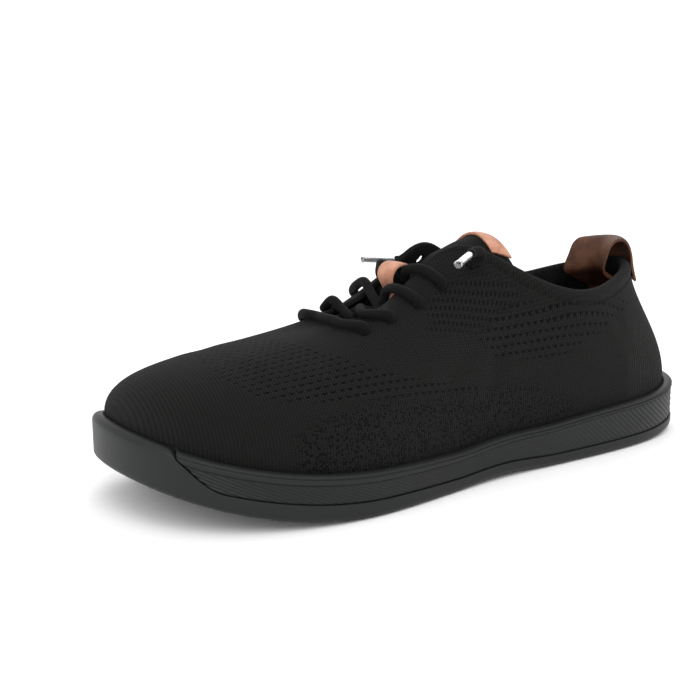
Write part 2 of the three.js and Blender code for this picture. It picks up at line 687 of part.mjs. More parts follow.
add('outsole', makeOutsole(), 0x343637, 0.55);
add('midsole', makeMidsole(), 0x343637, 0.6);
add('insole', makeInsole(), 0x151515, 0.95);
add('upper', makeUpper(), 0x171717, 0.95);

add('tongue', makeTongue(), 0x171717, 0.95);
add('tongue_label', makeLabel(), 0x9a5f45, 0.6);
add('lace_bar', makeBar(), 0x1d1d1d, 0.9);
for (let i = 0; i < 3; i += 1) {
  add(`lace_crossing_${i + 1}`, makeCrossing(EYELET_ROWS[i], EYELET_ROWS[i + 1]), 0x1d1d1d, 0.9);
}
add('lace_keeper', makeKeeper(), 0xb07a60, 0.6);
add('heel_loop', makeHeelLoop(), 0x7a4a2c, 0.55);
add('lace_end_outer', makeEnd(1), 0x1d1d1d, 0.9);
add('lace_end_inner', makeEnd(-1), 0x1d1d1d, 0.9);
add('lace_tip_outer', makeTip(1), 0xb8b8b8, 0.3);
add('lace_tip_inner', makeTip(-1), 0xb8b8b8, 0.3);

export default shoe;
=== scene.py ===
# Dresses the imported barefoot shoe: knitted upper and tongue, ribbed rubber sole, round lace, leather loops.
# The surfaces repeat the named sizes and section rows of the CAD part, in millimetres, and become metres in
# the meshes.
import math

import bpy
import numpy as np
from mathutils import Matrix


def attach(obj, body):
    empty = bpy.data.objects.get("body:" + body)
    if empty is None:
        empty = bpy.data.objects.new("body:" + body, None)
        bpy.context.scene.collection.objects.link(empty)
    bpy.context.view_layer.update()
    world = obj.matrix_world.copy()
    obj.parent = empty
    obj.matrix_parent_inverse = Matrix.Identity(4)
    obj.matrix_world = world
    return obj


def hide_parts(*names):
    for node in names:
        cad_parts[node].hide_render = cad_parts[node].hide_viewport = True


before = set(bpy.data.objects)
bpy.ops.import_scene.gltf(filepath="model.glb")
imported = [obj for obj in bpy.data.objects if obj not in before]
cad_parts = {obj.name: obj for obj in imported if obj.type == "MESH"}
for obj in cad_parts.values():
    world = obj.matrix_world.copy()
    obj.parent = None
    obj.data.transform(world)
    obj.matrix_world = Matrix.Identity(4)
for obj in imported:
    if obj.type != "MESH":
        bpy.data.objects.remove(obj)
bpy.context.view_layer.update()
MM = 0.001

# Driving sizes of the last
SOLE_LENGTH = 288.0
BALL_WIDTH = 109.0
INSTEP_HEIGHT = 96.0
TOE_SPRING = 18.5
TOE_SPRING_START = 0.68
HEEL_RISE = 3.2
HEEL_RISE_END = 0.16
ARCH_LIFT = 1.4
ARCH_MIDDLE = 0.45
ARCH_REACH = 0.11

# Walls and clearances
CLEAR = 0.3
OUTSOLE_THICKNESS = 4.6
FOOTBED_THICKNESS = 2.0
CUP_WALL = 4.6
UPPER_WALL = 2.0
COLLAR_PADDING = 2.2
INSOLE_THICKNESS = 3.0
TONGUE_THICKNESS = 2.6
LEATHER_THICKNESS = 1.3
SIDE_HEIGHT = 22.5
LIP_ROUND = 2.8
BOTTOM_ROUND = 3.4
BUMPER_START = 144.0
BUMPER_END = 161.0
CHANNEL_WIDTH = 3.0
CHANNEL_DEPTH = 1.8
CHANNEL_BOW = 9.0
CHANNEL_PITCH = 12.5
CHANNEL_ROWS = ((0.697, 7), (0.09, 5))

# Lace, eyelets, keeper and heel loop
LACE_DIAMETER = 4.2
LACE_OVERLAP = 0.6
EYELET_DIAMETER = 4.6
TIP_LENGTH = 17.0
TIP_DIAMETER = 3.2
STRAIGHT_END = 3.0
TONGUE_TOP_TURN = 90.0
TONGUE_WING = 0.3
TONGUE_CROWN = 12.0
TONGUE_FALL = 1.0
TONGUE_SEAT = 0.9
BAR_RISE = 0.985
BAR_BOW = 0.065
UNDER_EDGE = (0.55, 0.46, 0.24)
LABEL_SPAN = 0.42
KEEPER_WIDTH = 11.5
KEEPER_HEIGHT = 13.9
KEEPER_DROOP = 0.2
KEEPER_TURN = 5.0
LOOP_WIDTH = 23.0
LOOP_MIDDLE = -1.5
LOOP_HEIGHT = 8.5
LOOP_DEPTH = 15.0
LOOP_SEAT = 0.9

# One row for each 22.5 degrees of turn around the shoe, from the back of the heel by the outer side:
# edge, along, across, high, swell, rise, reach, drop
SECTIONS = (
    (0.006, 0.080, 0.000, 0.870, 0.008, 0.230, 0.010, 0.200),
    (0.237, 0.110, 0.128, 0.852, 0.010, 0.230, 0.015, 0.200),
    (0.357, 0.170, 0.228, 0.815, 0.014, 0.230, 0.025, 0.200),
    (0.394, 0.271, 0.303, 0.783, 0.020, 0.210, 0.030, 0.220),
    (0.427, 0.375, 0.229, 0.896, 0.020, 0.240, 0.110, 0.240),
    (0.511, 0.472, 0.115, 1.006, 0.020, 0.220, 0.200, 0.245),
    (0.462, 0.569, 0.075, 0.796, 0.020, 0.220, 0.340, 0.139),
    (0.265, 0.637, 0.065, 0.716, 0.015, 0.245, 0.433, 0.093),
    (-0.080, 0.665, -0.018, 0.700, 0.010, 0.265, 0.463, 0.098),
    (-0.374, 0.644, -0.086, 0.729, 0.015, 0.215, 0.401, 0.163),
    (-0.489, 0.569, -0.091, 0.812, 0.020, 0.180, 0.310, 0.245),
    (-0.477, 0.472, -0.128, 0.995, 0.020, 0.210, 0.196, 0.269),
    (-0.389, 0.375, -0.234, 0.896, 0.020, 0.240, 0.110, 0.240),
    (-0.337, 0.271, -0.284, 0.783, 0.020, 0.210, 0.030, 0.220),
    (-0.319, 0.170, -0.225, 0.815, 0.014, 0.230, 0.025, 0.200),
    (-0.239, 0.110, -0.126, 0.852, 0.010, 0.230, 0.015, 0.200),
)
# Side of the sole at even steps from heel to toe: lip, top of the ribbed band, groove over the outsole
SIDES = (
    (1.000, 0.870, 0.250),
    (0.930, 0.800, 0.240),
    (0.740, 0.580, 0.245),
    (0.830, 0.640, 0.320),
    (0.810, 0.620, 0.320),
)
# Eyelet rows from the throat base up: turn and rise of the hole, the turn where a lace goes over the
# eyestay's edge to it, and the turn where the next one comes out from under the edge
EYELET_ROWS = (
    (130.8, 0.719, 162.0, 152.0),
    (123.6, 0.716, 151.0, 144.0),
    (116.7, 0.736, 135.0, 131.0),
    (111.7, 0.799, 127.0, 122.0),
    (104.7, 0.909, 108.0, 108.0),
)
# Where a lace lies between the eyestay's edge and its eyelet: share of the way, and lift in clearances
OVER_EDGE = ((0.02, 3.5), (0.5, 1.8))


# Surfaces of the shoe


def closed_curve(values):
    """Smooth closed curve through evenly spaced values, over a turn in degrees."""
    count = len(values)
    knots = list(values)
    for _ in range(40):
        for i in range(count):
            knots[i] = (6 * values[i] - knots[i - 1] - knots[(i + 1) % count]) / 4
    knots = np.array(knots)

    def curve(turn):
        place = (np.asarray(turn, float) / 360 % 1) * count
        i = np.floor(place).astype(int) % count
        t = place - np.floor(place)
        weights = ((1 - t) ** 3, 3 * t**3 - 6 * t * t + 4, 3 * t * (1 + t - t * t) + 1, t**3)
        return sum(w * knots[(i + j - 1) % count] for j, w in enumerate(weights)) / 6

    return curve


def open_curve(values):
    """Smooth open curve through evenly spaced values, over a share from 0 to 1."""
    table = np.array(values, float)
    last = len(table) - 1

    def curve(share):
        place = np.clip(share, 0, 1) * last
        i = np.minimum(np.floor(place).astype(int), last - 1)
        t = place - i

        def at(k):
            return table[np.clip(k, 0, last)]

        before = (at(i + 1) - at(i - 1)) / 2
        after = (at(i + 2) - at(i)) / 2
        line = (2 * t**3 - 3 * t * t + 1) * at(i) + (3 * t * t - 2 * t**3) * at(i + 1)
        return line + (t**3 - 2 * t * t + t) * before + (t**3 - t * t) * after

    return curve


EDGE, ALONG, ACROSS, HIGH, SWELL, RISE, REACH, DROP = (closed_curve(column) for column in zip(*SECTIONS))
LIP, BAND, GROOVE = (open_curve(column) for column in zip(*SIDES))


def smoothstep(x, low, high):
    s = np.clip((np.asarray(x, float) - low) / (high - low), 0, 1)
    return s * s * (3 - 2 * s)


def from_heel(turn):
    turn = np.asarray(turn, float) % 360
    return np.where(turn > 180, 360 - turn, turn)


def unit(vectors):
    return vectors / np.maximum(np.linalg.norm(vectors, axis=-1, keepdims=True), 1e-9)


def underside(x):
    share = x / SOLE_LENGTH + 0.5
    toe = np.maximum(0, share - TOE_SPRING_START) / (1 - TOE_SPRING_START)
    heel = np.maximum(0, HEEL_RISE_END - share) / HEEL_RISE_END
    arch = np.minimum(1, np.abs(share - ARCH_MIDDLE) / ARCH_REACH)
    return TOE_SPRING * toe**2 + HEEL_RISE * heel**2 + ARCH_LIFT * (0.5 + 0.5 * np.cos(np.pi * arch))


def lip_top(x):
    return underside(x) + SIDE_HEIGHT * LIP(x / SOLE_LENGTH + 0.5)


def band_top(x):
    return underside(x) + SIDE_HEIGHT * BAND(x / SOLE_LENGTH + 0.5)


def groove_top(x):
    return underside(x) + SIDE_HEIGHT * GROOVE(x / SOLE_LENGTH + 0.5)


def slab_top(x):
    return underside(x) + OUTSOLE_THICKNESS


def footbed(x):
    return slab_top(x) + CLEAR + FOOTBED_THICKNESS


def outline(turn):
    angle = np.radians(turn)
    return np.stack([-SOLE_LENGTH / 2 * np.cos(angle), BALL_WIDTH * EDGE(turn)], -1)


def outward(turn):
    step = unit(outline(np.asarray(turn) + 0.5) - outline(np.asarray(turn) - 0.5))
    return np.stack([-step[..., 1], step[..., 0]], -1)


def inset(turn, depth):
    return outline(turn) - outward(turn) * np.asarray(depth)[..., None]


def bumper_share(turn):
    return smoothstep(from_heel(turn), BUMPER_START, BUMPER_END)


def bumper_top(turn, x):
    low = groove_top(x)
    return low + bumper_share(turn) * (lip_top(x) + 2 * CLEAR - low)


def upper_surface(turn, t):
    turn, t = np.broadcast_arrays(np.asarray(turn, float), np.asarray(t, float))
    foot = inset(turn, np.full(turn.shape, CUP_WALL + CLEAR))
    start = np.stack([foot[..., 0], foot[..., 1], lip_top(foot[..., 0])], -1)
    end = np.stack(
        [(ALONG(turn) - 0.5) * SOLE_LENGTH, ACROSS(turn) * BALL_WIDTH, HIGH(turn) * INSTEP_HEIGHT], -1
    )
    sideways = outward(turn) * (SWELL(turn) * BALL_WIDTH)[..., None]
    flat = np.concatenate([sideways, np.zeros(turn.shape + (1,))], -1)
    low = start + flat
    low[..., 2] += RISE(turn) * INSTEP_HEIGHT
    away = unit(start[..., :2] - end[..., :2])
    high = end.copy()
    high[..., :2] += away * (REACH(turn) * BALL_WIDTH)[..., None]
    high[..., 2] -= DROP(turn) * INSTEP_HEIGHT
    t = np.clip(t, 0, 1)[..., None]
    return start * (1 - t) ** 3 + 3 * low * t * (1 - t) ** 2 + 3 * high * t * t * (1 - t) + end * t**3


def offset_point(surface, a, b, distance, flip=1):
    step_a = surface(a + 0.5, b) - surface(a - 0.5, b)
    step_b = surface(a, b + 0.01) - surface(a, b - 0.01)
    normal = unit(np.cross(step_b, step_a)) * flip
    return surface(a, b) + normal * np.asarray(distance, float)[..., None]


def skin(turn, t, depth):
    """A point of the upper at a depth under its outer surface."""
    turn, t, depth = np.broadcast_arrays(*(np.asarray(v, float) for v in (turn, t, depth)))
    return offset_point(upper_surface, turn, t, -depth)


def wall_at(turn, t):
    collar = 1 - smoothstep(from_heel(turn), 60, 92)
    return UPPER_WALL + COLLAR_PADDING * collar * smoothstep(t, 0.72, 0.9)


def sided(turn, side):
    return np.where(np.asarray(side) > 0, turn, 360 - np.asarray(turn, float))


def lace_room(turn):
    room = smoothstep(turn, TONGUE_TOP_TURN, TONGUE_TOP_TURN + 12) * (1 - smoothstep(turn, 156, 172))
    return TONGUE_SEAT + (LACE_DIAMETER + 4 * CLEAR) * room


def tongue_surface(turn, across):
    turn, across = np.broadcast_arrays(np.asarray(turn, float), np.asarray(across, float))
    span = np.abs(across)
    wing = np.maximum(0, span - 0.5) * 2
    fade = 1 - smoothstep(wing, 0.5, 1)
    seat = UPPER_WALL + TONGUE_SEAT + (lace_room(turn) - TONGUE_SEAT) * fade
    wings = skin(sided(turn, across), 1 - wing * TONGUE_WING, seat)
    depth = UPPER_WALL + lace_room(turn)
    outer = skin(turn, 1.0, depth)
    inner = skin(360 - turn, 1.0, depth)
    fall = 1 - TONGUE_FALL * smoothstep(turn, TONGUE_TOP_TURN, 115)
    crown = TONGUE_CROWN * fall * (1 - smoothstep(turn, 140, 180))
    middle = inner + (outer - inner) * (across + 0.5)[..., None]
    middle[..., 2] += crown * (1 - (2 * across) ** 2)
    return np.where((span >= 0.5)[..., None], wings, middle)


def on_tongue(turn, across, lift):
    turn, across, lift = np.broadcast_arrays(*(np.asarray(v, float) for v in (turn, across, lift)))
    return offset_point(tongue_surface, turn, across, lift, -1)


def eyelet(row, side):
    turn, rise = EYELET_ROWS[row][:2]
    centre = skin(sided(turn, side), rise, 0.0)
    return centre, unit(skin(sided(turn, side), rise, -1.0) - centre)


# Meshes


def mesh_object(name, points, faces, uv=None, masks=None):
    """A smooth mesh piece from points in millimetres, riding on the shoe."""
    mesh = bpy.data.meshes.new(name)
    mesh.from_pydata((np.asarray(points) * MM).tolist(), [], [tuple(int(i) for i in face) for face in faces])
    mesh.validate()
    if uv is not None:
        for layer, values in uv.items():
            data = mesh.uv_layers.new(name=layer).data
            loops = np.empty(len(mesh.loops), dtype=np.int32)
            mesh.loops.foreach_get("vertex_index", loops)
            data.foreach_set("uv", np.asarray(values, np.float32)[loops].ravel())
    for label, values in (masks or {}).items():
        attribute = mesh.attributes.new(label, "FLOAT", "POINT")
        attribute.data.foreach_set("value", np.asarray(values, np.float32).ravel())
    mesh.shade_smooth()
    piece = bpy.data.objects.new(name, mesh)
    bpy.context.scene.collection.objects.link(piece)
    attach(piece, "root")
    return piece


def grid_faces(rows, columns, wrap_columns=False, wrap_rows=False, start=0):
    """Quads over a grid of points kept row by row."""
    last_row = rows if wrap_rows else rows - 1
    last_column = columns if wrap_columns else columns - 1
    row, column = np.meshgrid(np.arange(last_row), np.arange(last_column), indexing="ij")
    next_row, next_column = (row + 1) % rows, (column + 1) % columns
    corners = (row, column), (next_row, column), (next_row, next_column), (row, next_column)
    return np.stack([start + r.ravel() * columns + c.ravel() for r, c in corners], -1).tolist()


def cap_faces(start, count, up):
    """Strip of quads across a ring whose points run symmetrically from the heel to the toe."""
    half = count // 2
    faces = []
    for i in range(half):
        left = (start + i, start + i + 1)
        right = (start + (count - i) % count, start + count - i - 1)
        quad = [left[0], right[0], right[1], left[1]]
        face = [corner for k, corner in enumerate(quad) if corner not in quad[:k]]
        faces.append(face if up else face[::-1])
    return faces


def catmull(points, per_span=10):
    """Dense points on a smooth curve through the given ones (centripetal)."""
    points = np.asarray(points, float)
    ends = np.vstack([2 * points[0] - points[1], points, 2 * points[-1] - points[-2]])
    out = []
    for i in range(1, len(ends) - 2):
        p0, p1, p2, p3 = ends[i - 1 : i + 3]
        k1 = np.linalg.norm(p1 - p0) ** 0.5
        k2 = k1 + np.linalg.norm(p2 - p1) ** 0.5
        k3 = k2 + np.linalg.norm(p3 - p2) ** 0.5
        for k in np.linspace(k1, k2, per_span, endpoint=False):
            a1 = (k1 - k) / k1 * p0 + k / k1 * p1
            a2 = (k2 - k) / (k2 - k1) * p1 + (k - k1) / (k2 - k1) * p2
            a3 = (k3 - k) / (k3 - k2) * p2 + (k - k2) / (k3 - k2) * p3
            b1 = (k2 - k) / k2 * a1 + k / k2 * a2
            b2 = (k3 - k) / (k3 - k1) * a2 + (k - k1) / (k3 - k1) * a3
            out.append((k2 - k) / (k2 - k1) * b1 + (k - k1) / (k2 - k1) * b2)
    out.append(ends[-2])
    return np.array(out)


def even_path(points, step):
    """The same line with its points a step apart."""
    lengths = np.concatenate([[0], np.cumsum(np.linalg.norm(np.diff(points, axis=0), axis=1))])
    count = max(2, int(round(lengths[-1] / step)) + 1)
    marks = np.linspace(0, lengths[-1], count)
    return np.stack([np.interp(marks, lengths, points[:, k]) for k in range(3)], -1)


def tube(name, path, radii, around=20, closed=True):
    """A round tube along a path; radii is one value or one for each point."""
    path = np.asarray(path, float)
    tangents = unit(np.gradient(path, axis=0))
    radii = np.broadcast_to(np.asarray(radii, float), (len(path),))
    side = unit(np.cross(tangents[0], [0.13, 0.21, 1.0]))
    angles = np.linspace(0, 2 * np.pi, around, endpoint=False)
    rings = []
    for point, tangent, radius in zip(path, tangents, radii):
        side = unit(side - tangent * np.dot(side, tangent))
        other = np.cross(tangent, side)
        rings.append(point + radius * (np.cos(angles)[:, None] * side + np.sin(angles)[:, None] * other))
    points = np.concatenate(rings)
    faces = grid_faces(len(path), around, wrap_columns=True)
    if closed:
        faces.append(list(range(around))[::-1])
        faces.append(list(range((len(path) - 1) * around, len(path) * around)))
    lengths = np.concatenate([[0], np.cumsum(np.linalg.norm(np.diff(path, axis=0), axis=1))])
    uv = np.stack(
        [np.repeat(lengths, around), np.tile(angles * LACE_DIAMETER / 2, len(path))], -1
    )
    return mesh_object(name, points, faces, uv={"cloth": uv})


# Camera and studio

# The photograph's view: looked-at point, way to the camera, distance and lens over a 36 mm sensor
LOOK_AT = (36.07, 0.0, 53.84)
CAMERA_AZIMUTH = math.radians(31.69)
CAMERA_HEIGHT = math.radians(11.54)
CAMERA_ROLL = math.radians(-0.39)
CAMERA_DISTANCE = 475.7
FOCAL_PIXELS = 1118.96
FRAME_PIXELS = 700
SENSOR = 36.0


def make_camera():
    way = np.array(
        [
            math.sin(CAMERA_AZIMUTH) * math.cos(CAMERA_HEIGHT),
            math.cos(CAMERA_AZIMUTH) * math.cos(CAMERA_HEIGHT),
            math.sin(CAMERA_HEIGHT),
        ]
    )
    right = np.array([-math.cos(CAMERA_AZIMUTH), math.sin(CAMERA_AZIMUTH), 0])
    up = np.cross(right, -way)
    rolled_right = math.cos(CAMERA_ROLL) * right + math.sin(CAMERA_ROLL) * up
    rolled_up = -math.sin(CAMERA_ROLL) * right + math.cos(CAMERA_ROLL) * up
    camera = bpy.data.objects.new("camera", bpy.data.cameras.new("camera"))
    bpy.context.scene.collection.objects.link(camera)
    place = (np.array(LOOK_AT) + way * CAMERA_DISTANCE) * MM
    matrix = np.eye(4)
    for column, axis in enumerate((rolled_right, rolled_up, way, place)):
        matrix[:3, column] = axis
    camera.matrix_world = Matrix(matrix.tolist())
    camera.data.sensor_width = SENSOR
    camera.data.lens = FOCAL_PIXELS / FRAME_PIXELS * SENSOR
    camera.data.clip_start = 0.01
    camera.data.clip_end = 20
    bpy.context.scene.camera = camera


def make_stage():
    floor_mesh = bpy.data.meshes.new("floor")
    reach = 3.0
    floor_mesh.from_pydata(
        [(-reach, -reach, 0), (reach, -reach, 0), (reach, reach, 0), (-reach, reach, 0)], [], [(0, 1, 2, 3)]
    )
    floor = bpy.data.objects.new("floor", floor_mesh)
    bpy.context.scene.collection.objects.link(floor)
    material = bpy.data.materials.new("white_paper")
    material.use_nodes = True
    shader = material.node_tree.nodes["Principled BSDF"]
    shader.inputs["Base Color"].default_value = (0.98, 0.98, 0.98, 1)
    shader.inputs["Roughness"].default_value = 0.9
    shader.inputs["Specular IOR Level"].default_value = 0.1
    floor_mesh.materials.append(material)

    world = bpy.data.worlds.new("studio")
    world.use_nodes = True
    world.node_tree.nodes["Background"].inputs["Color"].default_value = (1, 1, 1, 1)
    world.node_tree.nodes["Background"].inputs["Strength"].default_value = WORLD_STRENGTH
    bpy.context.scene.world = world
    bpy.context.scene.view_settings.view_transform = "Standard"
    for name, place, size, power in LIGHTS:
        lamp = bpy.data.lights.new(name, "AREA")
        lamp.shape = "SQUARE"
        lamp.size = size
        lamp.energy = power
        light = bpy.data.objects.new(name, lamp)
        bpy.context.scene.collection.objects.link(light)
        position = np.array(place)
        to_light = unit(position - np.array([0.0, 0.0, 0.05]))
        side = unit(np.cross([0, 0, 1.0], to_light))
        matrix = np.eye(4)
        for column, axis in enumerate((side, np.cross(to_light, side), to_light, position)):
            matrix[:3, column] = axis
        light.matrix_world = Matrix(matrix.tolist())


WORLD_STRENGTH = 1.05
LIGHTS = (
    ("key_light", (0.4, 1.1, 1.5), 1.2, 12.0),
    ("fill_light", (1.6, 0.5, 0.9), 1.2, 6.0),
    ("back_light", (-1.0, -1.2, 1.2), 1.2, 8.0),
)
make_camera()
make_stage()


# Materials


class Nodes:
    """Short names for building a material's node tree."""

    def __init__(self, name):
        self.material = bpy.data.materials.new(name)
        self.material.use_nodes = True
        self.tree = self.material.node_tree
        self.shader = self.tree.nodes["Principled BSDF"]

    def put(self, socket, value):
        if isinstance(value, bpy.types.NodeSocket):
            self.tree.links.new(value, socket)
        elif hasattr(value, "__len__") and len(value) == 3 and len(socket.default_value) == 4:
            socket.default_value = (*value, 1)
        else:
            socket.default_value = value

    def node(self, kind, inputs=(), **settings):
        node = self.tree.nodes.new(kind)
        for key, value in settings.items():
            setattr(node, key, value)
        for key, value in dict(inputs).items():
            self.put(node.inputs[key], value)
        return node

    def math(self, operation, a, b=0.0, c=0.0):
        node = self.node("ShaderNodeMath", operation=operation)
        for socket, value in zip(node.inputs, (a, b, c)):
            self.put(socket, value)
        return node.outputs[0]

    def mix_color(self, factor, a, b):
        node = self.node("ShaderNodeMix", data_type="RGBA")
        self.put(node.inputs[0], factor)
        self.put(node.inputs[6], a)
        self.put(node.inputs[7], b)
        return node.outputs[2]

    def step(self, value, low, high):
        node = self.node("ShaderNodeMapRange", interpolation_type="SMOOTHSTEP")
        self.put(node.inputs["Value"], value)
        self.put(node.inputs["From Min"], low)
        self.put(node.inputs["From Max"], high)
        return node.outputs["Result"]

    def uv(self, layer):
        separate = self.node("ShaderNodeSeparateXYZ")
        self.put(separate.inputs[0], self.node("ShaderNodeUVMap", uv_map=layer).outputs[0])
        return separate.outputs[0], separate.outputs[1]

    def place(self):
        return self.node("ShaderNodeTexCoord").outputs["Object"]

    def attribute(self, name):
        return self.node("ShaderNodeAttribute", attribute_name=name).outputs["Fac"]

    def noise(self, vector, scale, detail=3.0, roughness=0.55):
        inputs = {"Vector": vector, "Scale": scale, "Detail": detail, "Roughness": roughness}
        return self.node("ShaderNodeTexNoise", inputs).outputs["Fac"]

    def vector(self, x, y, z=0.0):
        node = self.node("ShaderNodeCombineXYZ")
        for socket, value in zip(node.inputs, (x, y, z)):
            self.put(socket, value)
        return node.outputs[0]

    def wave(self, value, pitch, phase=0.0):
        """A sine of a coordinate in millimetres, from 0 to 1."""
        angle = self.math("MULTIPLY_ADD", value, 2 * math.pi / pitch, phase)
        return self.math("MULTIPLY_ADD", self.math("SINE", angle), 0.5, 0.5)

    def bump(self, height, millimetres, normal=None):
        inputs = {"Height": height, "Strength": 1.0, "Distance": millimetres * MM}
        if normal is not None:
            inputs["Normal"] = normal
        return self.node("ShaderNodeBump", inputs).outputs[0]

    def finish(self, color, roughness, normal=None, **plain):
        self.put(self.shader.inputs["Base Color"], color)
        self.put(self.shader.inputs["Roughness"], roughness)
        if normal is not None:
            self.put(self.shader.inputs["Normal"], normal)
        for key, value in plain.items():
            self.put(self.shader.inputs[key.replace("_", " ")], value)
        return self.material


def lattice(n, u, v, pitch_u, pitch_v):
    """Place within the cells of a staggered lattice, from -0.5 to 0.5 each way."""
    row = n.math("DIVIDE", v, pitch_v)
    whole = n.math("FLOOR", row)
    odd = n.math("MODULO", n.math("ABSOLUTE", whole), 2.0)
    column = n.math("ADD", n.math("DIVIDE", u, pitch_u), n.math("MULTIPLY", odd, 0.5))
    x = n.math("SUBTRACT", n.math("FRACT", column), 0.5)
    y = n.math("SUBTRACT", n.math("FRACT", row), 0.5)
    return x, y


def knit_material(name, zones):
    """Black knit: fine stitches everywhere, with openwork, lumps, dashes and ribs where the masks say."""
    n = Nodes(name)
    u, v = n.uv("cloth")
    where = n.vector(u, v)
    wale = n.wave(u, 1.25)
    skewed = n.math("ADD", v, n.math("MULTIPLY", n.math("ABSOLUTE", n.math("SUBTRACT", wale, 0.5)), 0.9))
    course = n.wave(skewed, 0.95)
    stitch = n.math("MULTIPLY", wale, course)
    fuzz = n.noise(where, 1.6, 4.0, 0.7)
    height = n.math("MULTIPLY_ADD", fuzz, 1.0, stitch)
    # dark collects painted shade for the openwork holes, the pits among the lumps and the dashes
    dark = 0.0
    if zones:
        jitter = n.math("MULTIPLY", n.math("SUBTRACT", n.noise(where, 0.35, 2.0), 0.5), 0.8)
        hole_u, hole_v = n.math("ADD", u, jitter), n.math("ADD", v, jitter)
        x, y = lattice(n, hole_u, hole_v, OPENWORK_ALONG, OPENWORK_ACROSS)
        bow = n.math("MULTIPLY", n.math("MULTIPLY", x, x), 1.6)
        y = n.math("ADD", y, bow)
        far = n.math(
            "SQRT", n.math("ADD", n.math("POWER", x, 2.0),
                           n.math("POWER", n.math("MULTIPLY", y, 1.9), 2.0))
        )
        hole = n.math("SUBTRACT", 1.0, n.step(far, 0.22, 0.4))
        openwork = n.attribute("openwork")
        hole = n.math("MULTIPLY", hole, openwork)
        height = n.math("ADD", height, n.math("MULTIPLY", hole, -1.8))
        dark = hole
        lumps = n.attribute("lumps")
        cells = n.node("ShaderNodeTexVoronoi", {"Vector": where, "Scale": 0.8, "Randomness": 0.9})
        pit = n.math("SUBTRACT", 1.0, n.step(cells.outputs["Distance"], 0.25, 0.5))
        pit = n.math("MULTIPLY", pit, lumps)
        height = n.math("ADD", height, n.math("MULTIPLY", pit, -1.2))
        dark = n.math("MAXIMUM", dark, pit)
        dashes = n.attribute("dashes")
        diagonal = n.math("ADD", n.math("MULTIPLY", u, 0.8), n.math("MULTIPLY", v, 0.6))
        across = n.math("SUBTRACT", n.math("MULTIPLY", v, 0.8), n.math("MULTIPLY", u, 0.6))
        dx, dy = lattice(n, diagonal, across, 3.2, 1.5)
        dash = n.math("MULTIPLY", n.math("SUBTRACT", 1.0, n.step(n.math("ABSOLUTE", dx), 0.15, 0.35)),
                      n.math("SUBTRACT", 1.0, n.step(n.math("ABSOLUTE", dy), 0.1, 0.35)))
        dash = n.math("MULTIPLY", dash, dashes)
        height = n.math("ADD", height, n.math("MULTIPLY", dash, -1.2))
        dark = n.math("MAXIMUM", dark, n.math("MULTIPLY", dash, 0.6))
        rib_u, _ = n.uv("heel")
        rib = n.math("MULTIPLY", n.wave(rib_u, 1.7), n.attribute("ribs"))
        height = n.math("ADD", height, n.math("MULTIPLY", rib, 1.4))
    tone = n.noise(n.place(), 60.0, 2.0)
    # Painted light: by bump height, the yarn colour runs from painted shade in the stitch hollows to a painted
    # highlight on the raised stitches
    color = n.mix_color(n.step(height, -0.2, 1.5), KNIT_HOLLOW_SHADE, KNIT_TOP_HIGHLIGHT)
    color = n.mix_color(n.math("MULTIPLY", tone, 0.35), color, KNIT_GREY)
    # Painted shade in the holes, pits and dashes
    color = n.mix_color(dark, color, KNIT_RECESS_SHADE)
    return n.finish(
        color, 0.92, n.bump(height, 0.24), Sheen_Weight=0.03, Sheen_Roughness=0.5, Specular_IOR_Level=0.08
    )


def rubber_material(name, tone):
    n = Nodes(name)
    place = n.place()
    grain = n.noise(place, 1800.0, 2.0)
    clouds = n.noise(place, 35.0, 3.0)
    color = n.mix_color(clouds, tuple(0.88 * c for c in tone), tuple(1.12 * c for c in tone))
    rough = n.math("MULTIPLY_ADD", clouds, 0.14, 0.42)
    return n.finish(color, rough, n.bump(grain, 0.04), Specular_IOR_Level=0.25)


def leather_material(name, dark, light):
    n = Nodes(name)
    place = n.place()
    pores = n.node("ShaderNodeTexVoronoi", {"Vector": place, "Scale": 900.0}).outputs["Distance"]
    clouds = n.noise(place, 120.0, 4.0, 0.6)
    height = n.math("MULTIPLY_ADD", clouds, 0.6, pores)
    color = n.mix_color(n.step(clouds, 0.3, 0.7), dark, light)
    rough = n.math("MULTIPLY_ADD", pores, 0.2, 0.5)
    return n.finish(color, rough, n.bump(height, 0.12), Specular_IOR_Level=0.2)


def lace_material():
    """Round braided lace: two families of strands winding against each other."""
    n = Nodes("lace_braid")
    along, around = n.uv("cloth")
    one = n.wave(n.math("ADD", along, n.math("MULTIPLY", around, 0.9)), 1.1)
    two = n.wave(n.math("SUBTRACT", along, n.math("MULTIPLY", around, 0.9)), 1.1)
    weave = n.math("MAXIMUM", one, two)
    fuzz = n.noise(n.place(), 2500.0, 3.0)
    height = n.math("MULTIPLY_ADD", fuzz, 0.35, weave)
    # Painted light: by the weave's height, raised strands get a painted highlight and the gaps between them
    # painted shade
    color = n.mix_color(n.step(weave, 0.45, 1.0), LACE_SHADE, LACE_HIGHLIGHT)
    return n.finish(color, 0.85, n.bump(height, 0.16), Sheen_Weight=0.02, Specular_IOR_Level=0.1)


def textile_material(name, dark, light, pitch=0.9):
    n = Nodes(name)
    u, v = n.uv("cloth")
    weave = n.math("MULTIPLY", n.wave(u, pitch), n.wave(v, pitch))
    fuzz = n.noise(n.place(), 900.0, 4.0)
    height = n.math("MULTIPLY_ADD", fuzz, 0.6, weave)
    # Painted light: by bump height, raised threads get a painted highlight and the hollows painted shade
    color = n.mix_color(n.step(height, 0.1, 1.1), dark, light)
    return n.finish(color, 0.95, n.bump(height, 0.2), Sheen_Weight=0.02, Specular_IOR_Level=0.1)
